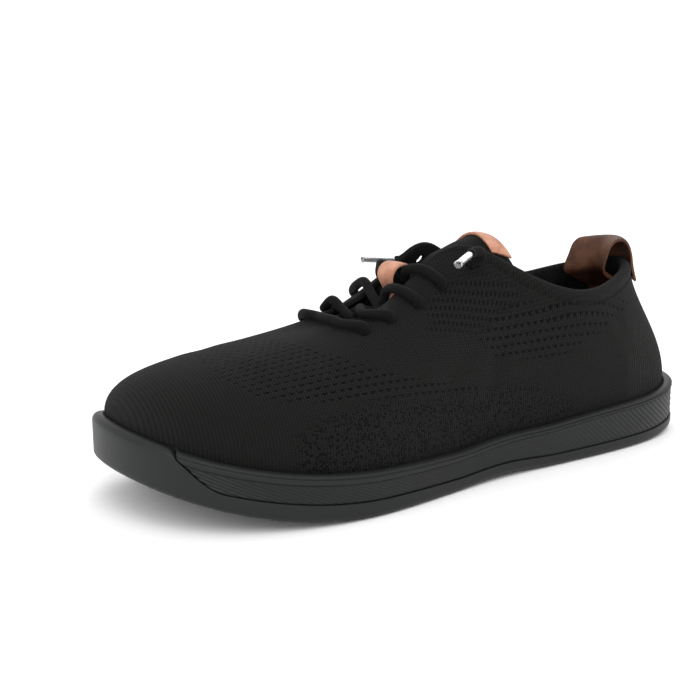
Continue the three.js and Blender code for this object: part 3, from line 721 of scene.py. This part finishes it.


# Colours, linear
# Knit: painted shade in the stitch hollows and a painted highlight on the raised stitches
KNIT_HOLLOW_SHADE = (0.0008, 0.0008, 0.0008)
KNIT_TOP_HIGHLIGHT = (0.0135, 0.0135, 0.0129)
KNIT_GREY = (0.006, 0.006, 0.0058)
# Painted shade for the knit's holes, pits and dashes
KNIT_RECESS_SHADE = (0.0003, 0.0003, 0.0003)
RUBBER = (0.0092, 0.0098, 0.0101)
LACE_SHADE = (0.0015, 0.0015, 0.0015)
# Lace: painted shade between the strands and a painted highlight on their crests
LACE_HIGHLIGHT = (0.007, 0.007, 0.0068)
LINING_SHADE = (0.0018, 0.0018, 0.0018)
# Lining: painted shade in the weave's hollows and a painted highlight on its raised threads
LINING_HIGHLIGHT = (0.006, 0.006, 0.006)
BROWN_DARK = (0.045, 0.017, 0.009)
BROWN_LIGHT = (0.1, 0.04, 0.021)
TAN_DARK = (0.35, 0.15, 0.09)
TAN_LIGHT = (0.55, 0.28, 0.19)
OPENWORK_ALONG = 3.6
OPENWORK_ACROSS = 2.7

knit = knit_material("black_knit", zones=True)
plain_knit = knit_material("plain_knit", zones=False)
rubber = rubber_material("sole_rubber", RUBBER)
lining = textile_material("lining_cloth", LINING_SHADE, LINING_HIGHLIGHT)
brown_leather = leather_material("brown_leather", BROWN_DARK, BROWN_LIGHT)
light_leather = leather_material("light_leather", TAN_DARK, TAN_LIGHT)
braid = lace_material()


# Lace

LACE_SEAT = LACE_DIAMETER / 2 + CLEAR


def mixed(a, b, share):
    return a + (b - a) * share


def into_eyelet(row, side):
    """Over the eyestay's edge, down into the hole and just through the wall."""
    centre, normal = eyelet(row, side)
    turn, rise, beside, _ = EYELET_ROWS[row]
    over = [
        skin(sided(mixed(beside, turn, share), side), mixed(1.0, rise, share), -LACE_SEAT - lift * CLEAR)
        for share, lift in OVER_EDGE
    ]
    return [*over, centre + normal * LACE_SEAT, centre, centre - normal * (UPPER_WALL + 1.2)]


def crossing(start, end, side):
    """From under one eyestay, over the tongue's middle and into the other side's next eyelet."""
    out, beside = EYELET_ROWS[start][3], EYELET_ROWS[end][2]
    over = LACE_DIAMETER * LACE_OVERLAP if side > 0 else 0.0
    under = [
        on_tongue(out - i, side * across, LACE_SEAT + 3 * CLEAR)
        for i, across in enumerate(UNDER_EDGE)
    ]
    middle = on_tongue((out + beside) / 2, 0.0, LACE_SEAT + CLEAR + over)
    goal = into_eyelet(end, -side)
    return [*under, middle, mixed(middle, goal[0], 0.5), *goal]


def bar():
    """In front of the throat base, over the knit from one first eyelet to the other."""
    turn, rise = EYELET_ROWS[0][:2]

    def half(side):
        return [
            skin(
                sided(mixed(turn, 180.0, share), side),
                mixed(rise, BAR_RISE, share) + BAR_BOW * math.sin(math.pi * share),
                -LACE_SEAT - CLEAR,
            )
            for share in (1, 0.75, 0.5, 0.3)
        ] + into_eyelet(0, side)[len(OVER_EDGE):]

    return [*half(1)[::-1], *half(-1)[1:]]


def lace_piece(name, lines, node):
    """One lace piece from one or two lines, replacing a CAD node."""
    for i, line in enumerate(lines):
        label = f"{name}_{i + 1}" if len(lines) > 1 else name
        piece = tube(label, even_path(catmull(line), 0.5), LACE_DIAMETER / 2)
        piece.data.materials.append(braid)
        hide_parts(node)


def lace_end(side):
    """Line of a free end, out of the top eyelet, and the way its tip points."""
    centre, normal = eyelet(4, side)
    if side > 0:
        bends = ((-2, 4, 2.5), (-1, 6, 5), (2, 7.5, 6.3), (6.5, 9, 5.8))
        tip = (13.5, 10, -1.9)
    else:
        bends = ((-1, 4.5, 1), (0.5, 7.5, 0), (4, 8.5, -1.8))
        tip = (19.6, 0, 1.8)
    signs = np.array([1, side, 1])
    along = unit(np.array(tip) * signs)
    line = [centre + normal * CLEAR, centre + normal * LACE_SEAT]
    line += [centre + np.array(bend) * signs for bend in bends]
    line += [line[-1] + along * STRAIGHT_END * share for share in (0.5, 1)]
    return line, along


def make_lace():
    lace_piece("lace_bar_braid", [bar()], "lace_bar")
    for i in range(3):
        lines = [crossing(i, i + 1, 1), crossing(i, i + 1, -1)]
        lace_piece(f"lace_crossing_{i + 1}_braid", lines, f"lace_crossing_{i + 1}")
    for side, label in ((1, "outer"), (-1, "inner")):
        line, along = lace_end(side)
        free = catmull(line)
        start, end = free[-1], free[-1] + along * (2 * CLEAR + TIP_LENGTH)
        inside_tip = start + (end - start) * np.linspace(0.02, 0.985, 30)[:, None]
        path = even_path(np.vstack([free, inside_tip]), 0.5)
        length = float(np.linalg.norm(np.diff(path, axis=0), axis=1).sum())
        from_end = length - np.concatenate([[0], np.cumsum(np.linalg.norm(np.diff(path, axis=0), axis=1))])
        squeezed = smoothstep(from_end, TIP_LENGTH - 0.5, TIP_LENGTH + 2)
        radii = mixed(TIP_DIAMETER / 2 - 0.35, LACE_DIAMETER / 2, squeezed)
        end_piece = tube(f"lace_end_{label}_braid", path, radii)
        end_piece.data.materials.append(braid)
        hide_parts(f"lace_end_{label}")
        tip_piece = make_tip(label, start + along * 2 * CLEAR, along)


def make_tip(label, start, along):
    """Clear film over the end of the lace, a little wider at its far rim."""
    marks = np.array([0.0, 0.3, 0.6, 3, 8, 13, 16.2, 16.5, 16.8, 17.0])
    radii = np.array([1.35, 1.55, 1.6, 1.6, 1.58, 1.6, 1.6, 1.72, 1.72, 1.5])
    tip = tube(f"lace_tip_{label}_film", start + along * marks[:, None], radii, around=24)
    tip.data.materials.append(film)
    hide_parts(f"lace_tip_{label}")
    return tip


def film_material():
    n = Nodes("clear_film")
    ripple = n.noise(n.place(), 700.0, 2.0)
    return n.finish(
        (0.75, 0.77, 0.8), 0.16, n.bump(ripple, 0.08), Transmission_Weight=0.75, IOR=1.35, Coat_Weight=0.6
    )


film = film_material()
make_lace()


# Sole

# Ribs run down from the lip towards the heel: how many cross the band's height, and how many more each
# millimetre forward adds, at even steps of length from heel to toe
RIBS_HIGH = 5.0
RIBS_ALONG = open_curve((0.22, 0.34, 0.4, 0.24, 0.09))
RIB_DEPTH = 0.6
BAND_INSET = 0.3
SOLE_AROUND = 720


def ring(turns, depth, height):
    spot = inset(turns, np.broadcast_to(depth, turns.shape))
    return np.concatenate([spot, np.broadcast_to(height, turns.shape)[:, None]], -1)


def make_midsole():
    turns = np.arange(SOLE_AROUND) * 360 / SOLE_AROUND
    edge = outline(turns)
    x = edge[:, 0]
    half = SOLE_AROUND // 2
    steps = np.linalg.norm(np.diff(edge[: half + 1], axis=0), axis=1)
    between = (x[:half] + x[1 : half + 1]) / 2 / SOLE_LENGTH + 0.5
    ribs_forward = np.concatenate([[0], np.cumsum(steps * RIBS_ALONG(between))])
    ribs_forward = np.concatenate([ribs_forward, ribs_forward[-2:0:-1]])
    under = slab_top(x) + CLEAR
    low, top, lip = groove_top(x) + CLEAR, band_top(x), lip_top(x)
    rows = [(CUP_WALL, under), (1.0, np.minimum(under, low - CLEAR - 0.2)), (0.75, low - 0.15)]
    rib_rows = 34
    for i in range(rib_rows + 1):
        share = i / rib_rows
        phase = (ribs_forward - RIBS_HIGH * share) % 1
        ridge = np.minimum(phase / 0.72, (1 - phase) / 0.28) ** 0.8
        fade = min(1.0, share / 0.05)
        rows.append((BAND_INSET + RIB_DEPTH * (1 - ridge * fade), low + (top - low) * share))
    rows.append((0.95, top + 0.15))
    for i in range(9):
        angle = math.radians(-80 + 20 * i)
        sweep = (math.sin(angle) + 1) / 2
        bulge = 0.75 * (1 - math.cos(angle))
        rows.append((bulge + 0.05, top + 0.3 + (lip - LIP_ROUND * 0.5 - top - 0.3) * sweep * 0.98))
    for i in range(1, 8):
        angle = math.radians(12 * i)
        rows.append(
            (LIP_ROUND * (1 - math.cos(angle)), lip - LIP_ROUND * 0.5 * (1 - math.sin(angle)))
        )
    rows += [(LIP_ROUND + 0.6, lip - 0.02), (CUP_WALL - 0.2, lip - 0.3)]
    rows += [(CUP_WALL, lip - 0.9), (CUP_WALL, footbed(x))]
    cut = bumper_top(turns, x) + CLEAR + 3 * CLEAR * bumper_share(turns)
    gone = smoothstep(cut, lip - 2.2, lip - 0.2)
    points = []
    for depth, height in rows:
        depth = np.broadcast_to(np.asarray(depth, float), x.shape)
        inner = depth >= CUP_WALL
        height = np.where(inner, height, np.maximum(height, np.minimum(cut, lip - 0.5)))
        depth = np.where(inner, depth, mixed(depth, CUP_WALL + 0.1, gone))
        points.append(ring(turns, depth, height))
    faces = grid_faces(len(rows), SOLE_AROUND, wrap_columns=True)
    faces = [face[::-1] for face in faces]
    faces += cap_faces(0, SOLE_AROUND, True)
    faces += cap_faces((len(rows) - 1) * SOLE_AROUND, SOLE_AROUND, False)
    piece = mesh_object("midsole_cup", np.concatenate(points), flipped(faces))
    piece.data.materials.append(rubber)
    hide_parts("midsole")
    return piece


def flipped(faces):
    return [face[::-1] for face in faces]


def make_outsole():
    turns = np.arange(360.0)
    x = outline(turns)[:, 0]
    floor, lip, cap = underside(x), lip_top(x), bumper_top(turns, x)
    rows = [(16.0, floor), (8.0, floor)]
    for i in range(7):
        angle = math.radians(15 * i)
        rise = BOTTOM_ROUND * 0.85 * (1 - math.cos(angle))
        rows.append((BOTTOM_ROUND * (1 - math.sin(angle)), floor + rise))
    side_low = floor + BOTTOM_ROUND * 0.85
    side_high = np.minimum(lip - LIP_ROUND, cap - 0.45)
    rows += [(0.0, mixed(side_low, side_high, share)) for share in (0.2, 0.5, 0.8, 1.0)]
    for i in range(1, 7):
        angle = math.radians(15 * i)
        rounded = lip - LIP_ROUND * (1 - math.sin(angle))
        small = 0.45 * (1 - math.cos(angle))
        high_zone = smoothstep(cap, lip - LIP_ROUND, lip - 0.3)
        depth = mixed(small, LIP_ROUND * (1 - math.cos(angle)), high_zone)
        height = mixed(np.minimum(cap - 0.45 * (1 - math.sin(angle)), rounded), rounded, high_zone)
        rows.append((depth, height))
    inner_top = np.minimum(cap, lip - CLEAR)
    inner_rim = inner_top - 0.5 * bumper_share(turns)
    rows += [(CUP_WALL - 0.3, inner_top), (CUP_WALL, inner_rim), (CUP_WALL, slab_top(x))]
    points = np.concatenate([ring(turns, depth, height) for depth, height in rows])
    faces = grid_faces(len(rows), 360, wrap_columns=True)
    faces += cap_faces(0, 360, False)
    faces += cap_faces((len(rows) - 1) * 360, 360, True)
    piece = mesh_object("outsole_slab", points, faces)
    piece.data.materials.append(rubber)
    cut_channels(piece)
    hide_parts("outsole")
    return piece


def cut_channels(piece):
    """Bowed channels across the tread, cut with one boolean."""
    steps = 24
    across = np.linspace(-1, 1, steps + 1)
    points, faces = [], []
    for first, count in CHANNEL_ROWS:
        for i in range(count):
            middle = (first - 0.5) * SOLE_LENGTH + i * CHANNEL_PITCH - CHANNEL_BOW * across**2
            start = len(points)
            for side, lift in ((-0.5, -5.0), (0.5, -5.0), (0.38, CHANNEL_DEPTH), (-0.38, CHANNEL_DEPTH)):
                x = middle + side * CHANNEL_WIDTH
                points += np.stack([x, across * BALL_WIDTH * 0.6, underside(x) + lift], -1).tolist()
            lanes = steps + 1
            for lane in range(4):
                for k in range(steps):
                    a, b = start + lane * lanes + k, start + (lane + 1) % 4 * lanes + k
                    faces.append((a, b, b + 1, a + 1))
            faces.append([start + lane * lanes for lane in range(4)][::-1])
            faces.append([start + lane * lanes + steps for lane in range(4)])
    mesh = bpy.data.meshes.new("channel_cutter")
    mesh.from_pydata((np.array(points) * MM).tolist(), [], faces)
    cutter = bpy.data.objects.new("channel_cutter", mesh)
    bpy.context.scene.collection.objects.link(cutter)
    apply_boolean(piece, cutter)


def apply_boolean(piece, cutter):
    modifier = piece.modifiers.new("cut", "BOOLEAN")
    modifier.object = cutter
    modifier.operation = "DIFFERENCE"
    modifier.solver = "EXACT"
    graph = bpy.context.evaluated_depsgraph_get()
    mesh = bpy.data.meshes.new_from_object(piece.evaluated_get(graph))
    old = piece.data
    piece.modifiers.clear()
    piece.data = mesh
    mesh.name = old.name
    bpy.data.meshes.remove(old)
    cutter_mesh = cutter.data
    bpy.data.objects.remove(cutter)
    bpy.data.meshes.remove(cutter_mesh)
    mesh.set_sharp_from_angle(angle=math.radians(38))


def make_insole():
    turns = np.arange(0, 360, 1.5)
    x = outline(turns)[:, 0]
    side = CUP_WALL + UPPER_WALL + 2 * CLEAR
    base = footbed(x) + CLEAR
    rows = [(side + 0.4, base), (side, base + 0.5), (side, base + INSOLE_THICKNESS - 0.9)]
    rows += [(side + 0.3, base + INSOLE_THICKNESS - 0.3), (side + 0.9, base + INSOLE_THICKNESS)]
    rows += [(side + k, base + INSOLE_THICKNESS) for k in (3.0, 6.0, 10.0, 14.0)]
    points = np.concatenate([ring(turns, depth, height) for depth, height in rows])
    faces = grid_faces(len(rows), len(turns), wrap_columns=True)
    faces += cap_faces(0, len(turns), False) + cap_faces((len(rows) - 1) * len(turns), len(turns), True)
    piece = mesh_object("insole_cloth", points, faces, uv={"cloth": points[:, :2]})
    piece.data.materials.append(lining)
    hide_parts("insole")


make_midsole()
make_outsole()
make_insole()


# Upper

# Knit zones as outlines in cloth coordinates: millimetres forward, and around from the top centre line
OPENWORK_VAMP = (
    (76, 0), (72.3, 12.6), (64.5, 22.8), (56.1, 31.7), (45.9, 37.9), (29.2, 42.8), (13.3, 45.2), (0, 47.2),
    (0, 48.2), (25.5, 47.6), (40.8, 47.4), (58.7, 46.1), (71.3, 45), (78.7, 43.6), (89.7, 40.7), (96.6, 37.7),
    (102.4, 31.6), (105.3, 26.6), (107, 19.5), (107, 9), (106, 0), (106, -3), (76, -3),
)
OPENWORK_ANKLE = (
    (-7, 31), (-13, 26), (-21, 23.3), (-32, 22.9), (-47, 24.5), (-63, 26.4), (-84, 25.1), (-103.5, 20.9),
    (-93.6, 25.7), (-82.8, 30.2), (-75.3, 32.7), (-68.4, 34.1), (-61.6, 36.4), (-54, 38.9), (-43.7, 39.1),
    (-31.9, 38.7), (-16.2, 37.5), (-10.2, 34.3),
)
LUMPS = (
    (86.7, 56.5), (73.5, 51.5), (60, 50.4), (41.6, 50.5), (20, 50.6), (-2, 49.2), (-25.5, 48.5), (-47.8, 55.9),
    (-60.8, 62.6), (-49, 68), (-13, 75), (33, 80), (73, 80), (88, 80),
)
DASHES = ((17.3, 26.8), (11.9, 17.7), (0.2, 15.3), (-15.5, 14.8), (-33.7, 19.9), (-21.4, 23.3), (-8.1, 27.9))

CLOTH_RADIUS = 48.0
CLOTH_AXIS = 14.0
HEEL_RADIUS = 34.0
HEEL_AXIS = -88.0


def cloth_coordinates(points):
    around = CLOTH_RADIUS * np.arctan2(points[:, 1], np.maximum(points[:, 2] - CLOTH_AXIS, 0.1))
    return np.stack([points[:, 0], around], -1)


def heel_coordinates(points):
    around = HEEL_RADIUS * np.arctan2(points[:, 1], HEEL_AXIS - points[:, 0])
    return np.stack([around, points[:, 2]], -1)


def inside_outline(spots, outline_points, soft):
    """1 inside an outline and 0 outside it, with a soft edge."""
    corners = np.array(outline_points, float)
    x, y = spots[:, 0], np.abs(spots[:, 1])
    inside = np.zeros(len(spots), bool)
    nearest = np.full(len(spots), 1e9)
    for (ax, ay), (bx, by) in zip(corners, np.roll(corners, -1, axis=0)):
        crossing_here = (ay > y) != (by > y)
        with np.errstate(divide="ignore", invalid="ignore"):
            at = ax + (y - ay) * (bx - ax) / (by - ay) if by != ay else np.zeros_like(y)
        inside ^= crossing_here & (x < at)
        run = np.clip(((x - ax) * (bx - ax) + (y - ay) * (by - ay)) / ((bx - ax) ** 2 + (by - ay) ** 2), 0, 1)
        nearest = np.minimum(nearest, np.hypot(x - ax - run * (bx - ax), y - ay - run * (by - ay)))
    return smoothstep(np.where(inside, nearest, -nearest), -soft, soft)


UPPER_AROUND = 480
OUTER_ROWS = 104
RIM_ROWS = 9
INNER_ROWS = 30
HEM = 6.2


def upper_relief(turn, t, length):
    """Height over the plain surface, in millimetres: rolled collar and hems."""
    from_rim = (1 - t) * length
    ankle = 1 - smoothstep(from_heel(turn), 92, 112)
    hem = HEM * ankle + 3.4 * (1 - ankle)
    roll = np.sin(np.pi * np.clip(from_rim / hem, 0, 1)) * (0.55 * ankle + 0.2)
    seam = -0.45 * np.exp(-(((from_rim - hem) / 0.55) ** 2)) * (0.4 + 0.6 * ankle)
    return (roll + seam) * smoothstep(from_rim, 0, 1.2)


def add_dimples(points, normals):
    for row in range(5):
        for side in (1, -1):
            centre, _ = eyelet(row, side)
            far = np.linalg.norm(points - centre, axis=-1)
            points = points - normals * (0.55 * np.exp(-((far / 3.6) ** 2)))[..., None]
    return points


# Soft creases: place of the middle, way along and half length, width, depth (millimetres)
CREASES = (
    ((40, 45, 34), (0.9, -0.1, -0.45), 16, 4.0, 0.5),
    ((10, 40, 48), (0.7, 0, -0.7), 18, 5.0, 0.45),
    ((-14, 37, 50), (0.35, 0, -0.9), 15, 4.5, 0.4),
    ((-50, 34, 62), (0.9, 0, 0.3), 16, 4.0, 0.4),
    ((78, 33, 48), (0.6, -0.7, 0.3), 14, 4.0, 0.35),
    ((96, 20, 54), (0.2, -0.97, 0.1), 15, 4.5, 0.35),
    ((-92, 29, 52), (0.3, 0.1, 0.95), 14, 4.0, 0.4),
)


def add_creases(points, normals):
    for middle, way, reach, width, depth in CREASES:
        for side in (1, -1):
            spot = np.array(middle, float) * (1, side, 1)
            along = unit(np.array(way, float) * (1, side, 1))
            gap = points - spot
            run = gap @ along
            off = np.linalg.norm(gap - run[..., None] * along, axis=-1)
            sink = np.exp(-((off / width) ** 2)) - 0.45 * np.exp(-(((off - 1.8 * width) / width) ** 2))
            points = points - normals * (depth * sink * np.exp(-((run / reach) ** 2)))[..., None]
    return points


def make_upper():
    turns = np.arange(UPPER_AROUND) * 360 / UPPER_AROUND
    fine = np.linspace(0, 1, 60)
    profile = upper_surface(turns[None, :], fine[:, None])
    length = np.linalg.norm(np.diff(profile, axis=0), axis=-1).sum(0)
    wall = wall_at(turns, np.ones_like(turns))
    rim = wall / 2 / length
    rows_t = np.linspace(0, 1, OUTER_ROWS)[:, None] * (1 - rim)[None, :]
    grid_turn = np.broadcast_to(turns, rows_t.shape)
    outer = skin(grid_turn, rows_t, 0.0)
    normals = unit(skin(grid_turn, rows_t, -1.0) - outer)
    outer = outer + normals * upper_relief(grid_turn, rows_t, length)[..., None]
    outer = add_creases(add_dimples(outer, normals), normals)
    rim_rows = []
    for i in range(1, RIM_ROWS):
        angle = math.pi * i / RIM_ROWS
        t = 1 - rim * (1 - math.sin(angle))
        rim_rows.append(skin(turns, t, wall / 2 * (1 - math.cos(angle))))
    inner_rows = []
    for i in range(INNER_ROWS):
        t = (1 - rim) * (1 - i / (INNER_ROWS - 1))
        inner_rows.append(skin(turns, t, wall_at(turns, t)))
    x = outline(turns)[:, 0]
    floor = footbed(x) + CLEAR
    foot = CUP_WALL + CLEAR
    rows = [ring(turns, foot, mixed(floor, lip_top(x), share)) for share in (0.0, 0.35, 0.7, 0.92)]
    rows += list(outer) + rim_rows + inner_rows
    rows += [ring(turns, CUP_WALL + CLEAR + UPPER_WALL, floor)]
    points = np.concatenate(rows)
    cloth = cloth_coordinates(points)
    masks = zone_masks(points, cloth)
    count = len(rows)
    first, last = 4, 4 + OUTER_ROWS
    showing = np.repeat((np.arange(count) >= first) & (np.arange(count) < last), UPPER_AROUND)
    from_rim = np.zeros(count * UPPER_AROUND)
    from_rim[first * UPPER_AROUND : last * UPPER_AROUND] = ((1 - rows_t) * length).ravel()
    clear_of_hem = smoothstep(from_rim, 3.5, 6.5)
    masks = {name: values * showing * clear_of_hem for name, values in masks.items()}
    faces = grid_faces(count, UPPER_AROUND, wrap_columns=True, wrap_rows=True)
    uv = {"cloth": cloth, "heel": heel_coordinates(points)}
    piece = mesh_object("upper_knit", points, faces, uv=uv, masks=masks)
    piece.data.materials.append(knit)
    punch_eyelets(piece)
    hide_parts("upper")
    return piece


def zone_masks(points, cloth):
    openwork = np.maximum(
        inside_outline(cloth, OPENWORK_VAMP, 1.2), inside_outline(cloth, OPENWORK_ANKLE, 1.2)
    )
    back = smoothstep(-points[:, 0], 90, 98)
    return {
        "openwork": openwork,
        "lumps": inside_outline(cloth, LUMPS, 5.0),
        "dashes": inside_outline(cloth, DASHES, 3.0),
        "ribs": back * (1 - smoothstep(points[:, 2], 50, 62)),
    }


def punch_eyelets(piece):
    """Round holes for the lace, cut with one boolean."""
    around, points, faces = 20, [], []
    angles = np.linspace(0, 2 * np.pi, around, endpoint=False)
    for row in range(5):
        for side in (1, -1):
            centre, normal = eyelet(row, side)
            one = unit(np.cross(normal, [0.3, 0.1, 1.0]))
            two = np.cross(normal, one)
            start = len(points)
            for lift in (-4.0, 4.0):
                disc = np.cos(angles)[:, None] * one + np.sin(angles)[:, None] * two
                points += (centre + normal * lift + disc * EYELET_DIAMETER / 2).tolist()
            for k in range(around):
                after = (k + 1) % around
                faces.append((start + k, start + after, start + around + after, start + around + k))
            faces.append([start + k for k in range(around)][::-1])
            faces.append([start + around + k for k in range(around)])
    mesh = bpy.data.meshes.new("eyelet_punch")
    mesh.from_pydata((np.array(points) * MM).tolist(), [], faces)
    punch = bpy.data.objects.new("eyelet_punch", mesh)
    bpy.context.scene.collection.objects.link(punch)
    apply_boolean(piece, punch)


make_upper()


# Tongue and leather pieces


def sheet_mesh(name, top, bottom, uv_top=None):
    """A closed sheet from two grids of points of the same size."""
    rows, columns = top.shape[:2]
    count = rows * columns
    faces = grid_faces(rows, columns)
    faces += flipped(grid_faces(rows, columns, start=count))
    rim = [(0, c) for c in range(columns)] + [(r, columns - 1) for r in range(1, rows)]
    rim += [(rows - 1, c) for c in range(columns - 2, -1, -1)] + [(r, 0) for r in range(rows - 2, 0, -1)]
    border = [r * columns + c for r, c in rim]
    for a, b in zip(border, border[1:] + border[:1]):
        faces.append((a, b, b + count, a + count))
    points = np.concatenate([top.reshape(-1, 3), bottom.reshape(-1, 3)])
    if uv_top is None:
        across = np.linalg.norm(np.diff(top, axis=1), axis=-1)
        down = np.linalg.norm(np.diff(top, axis=0), axis=-1)
        u = np.concatenate([np.zeros((rows, 1)), np.cumsum(across, 1)], 1)
        u = u - u[:, columns // 2][:, None]
        v = np.concatenate([np.zeros((1, columns)), np.cumsum(down, 0)], 0)
        uv_top = np.stack([v, u], -1).reshape(-1, 2)
    return mesh_object(name, points, faces, uv={"cloth": np.concatenate([uv_top, uv_top])})


def rounded_share(places, edge):
    """Thickness share over places from 0 to 1, rounded off within edge of both ends."""
    near = np.minimum(places, 1 - places)
    return np.sqrt(1 - (1 - np.clip(near / edge, 0, 1)) ** 2) * 0.94 + 0.06


def make_tongue():
    rows, columns = 110, 96
    turn = TONGUE_TOP_TURN + (179.2 - TONGUE_TOP_TURN) * np.linspace(0, 1, rows)
    across = np.linspace(-1, 1, columns)
    grid_turn, grid_across = np.meshgrid(turn, across, indexing="ij")
    middle = on_tongue(grid_turn, grid_across, -TONGUE_THICKNESS / 2)
    top = on_tongue(grid_turn, grid_across, 0.0)
    normal = unit(top - middle)
    share = rounded_share(np.linspace(0, 1, columns), 0.03)[None, :]
    share = share * rounded_share(np.linspace(0, 0.5, rows), 0.014)[:, None]
    half = normal * (TONGUE_THICKNESS / 2 * share)[..., None]
    piece = sheet_mesh("tongue_knit", middle + half, middle - half)
    piece.data.materials.append(plain_knit)
    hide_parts("tongue")


def make_label():
    turn = TONGUE_TOP_TURN + np.linspace(0.8, 6.5, 12)
    across = np.linspace(-LABEL_SPAN, LABEL_SPAN, 40)
    grid_turn, grid_across = np.meshgrid(turn, across, indexing="ij")
    top = on_tongue(grid_turn, grid_across, CLEAR + LEATHER_THICKNESS)
    bottom = on_tongue(grid_turn, grid_across, CLEAR)
    piece = sheet_mesh("tongue_label_leather", top, bottom)
    piece.data.materials.append(light_leather)
    soften(piece, 0.3)
    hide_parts("tongue_label")


def soften(piece, width):
    bevel = piece.modifiers.new("soft_edge", "BEVEL")
    bevel.width = width * MM
    bevel.segments = 2
    bevel.limit_method = "ANGLE"
    bevel.angle_limit = math.radians(40)


def make_keeper():
    middle = (EYELET_ROWS[2][3] + EYELET_ROWS[3][2]) / 2
    rows = ((-1.25, 0, 0.45), (-0.9, 0.25, 0.7), (-0.65, 0.8, 0.95), (0, 1, 1))
    rows += tuple((-forward, up, wide) for forward, up, wide in rows[2::-1])
    forward, up, wide = even_path(catmull(rows, 6), 0.08).T[:, :, None]
    across = np.linspace(-1, 1, 24)[None, :] * wide
    grids = []
    for lift in (LEATHER_THICKNESS, 0.0):
        spots = on_tongue(middle + forward * KEEPER_TURN, 0.0, 2 * CLEAR + up * KEEPER_HEIGHT + lift)
        sheet = np.broadcast_to(spots, (len(forward), 24, 3)).copy()
        sheet[..., 1] += across * KEEPER_WIDTH / 2
        sheet[..., 2] -= KEEPER_DROOP * across**2
        grids.append(sheet)
    piece = sheet_mesh("lace_keeper_leather", grids[0], grids[1])
    piece.data.materials.append(light_leather)
    soften(piece, 0.3)
    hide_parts("lace_keeper")


def on_heel(y, t, depth):
    base = skin(20.0, t, depth)
    return skin(y / (base[..., 1] / 20), t, depth)


def make_heel_loop():
    places = LOOP_MIDDLE + np.linspace(-0.5, 0.5, 24) * LOOP_WIDTH

    def sheet(lift):
        rows = [on_heel(places, t, -LOOP_SEAT - lift) for t in (0.8, 0.93)]
        for degrees in (15, 45, 75, 105, 135, 165):
            angle = math.radians(degrees)
            base = on_heel(places, 1.0, 0.0)
            base[:, 0] -= LOOP_SEAT - LOOP_DEPTH / 2 + (LOOP_DEPTH / 2 + lift) * math.cos(angle)
            base[:, 2] += LOOP_SEAT + (LOOP_HEIGHT + lift) * math.sin(angle)
            rows.append(base)
        for t, away in ((0.94, 0.6), (0.86, 0.25), (0.76, 0.02), (0.68, 0.02)):
            base = on_heel(places, t, wall_at(0.0, t) + LOOP_SEAT)
            base[:, 0] += away * LOOP_DEPTH + lift
            rows.append(base)
        lanes = [catmull(np.array([row[k] for row in rows]), 8) for k in range(len(places))]
        return np.stack(lanes, 1)

    piece = sheet_mesh("heel_loop_leather", sheet(LEATHER_THICKNESS), sheet(0.0))
    piece.data.materials.append(brown_leather)
    soften(piece, 0.3)
    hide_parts("heel_loop")


make_tongue()
make_label()
make_keeper()
make_heel_loop()
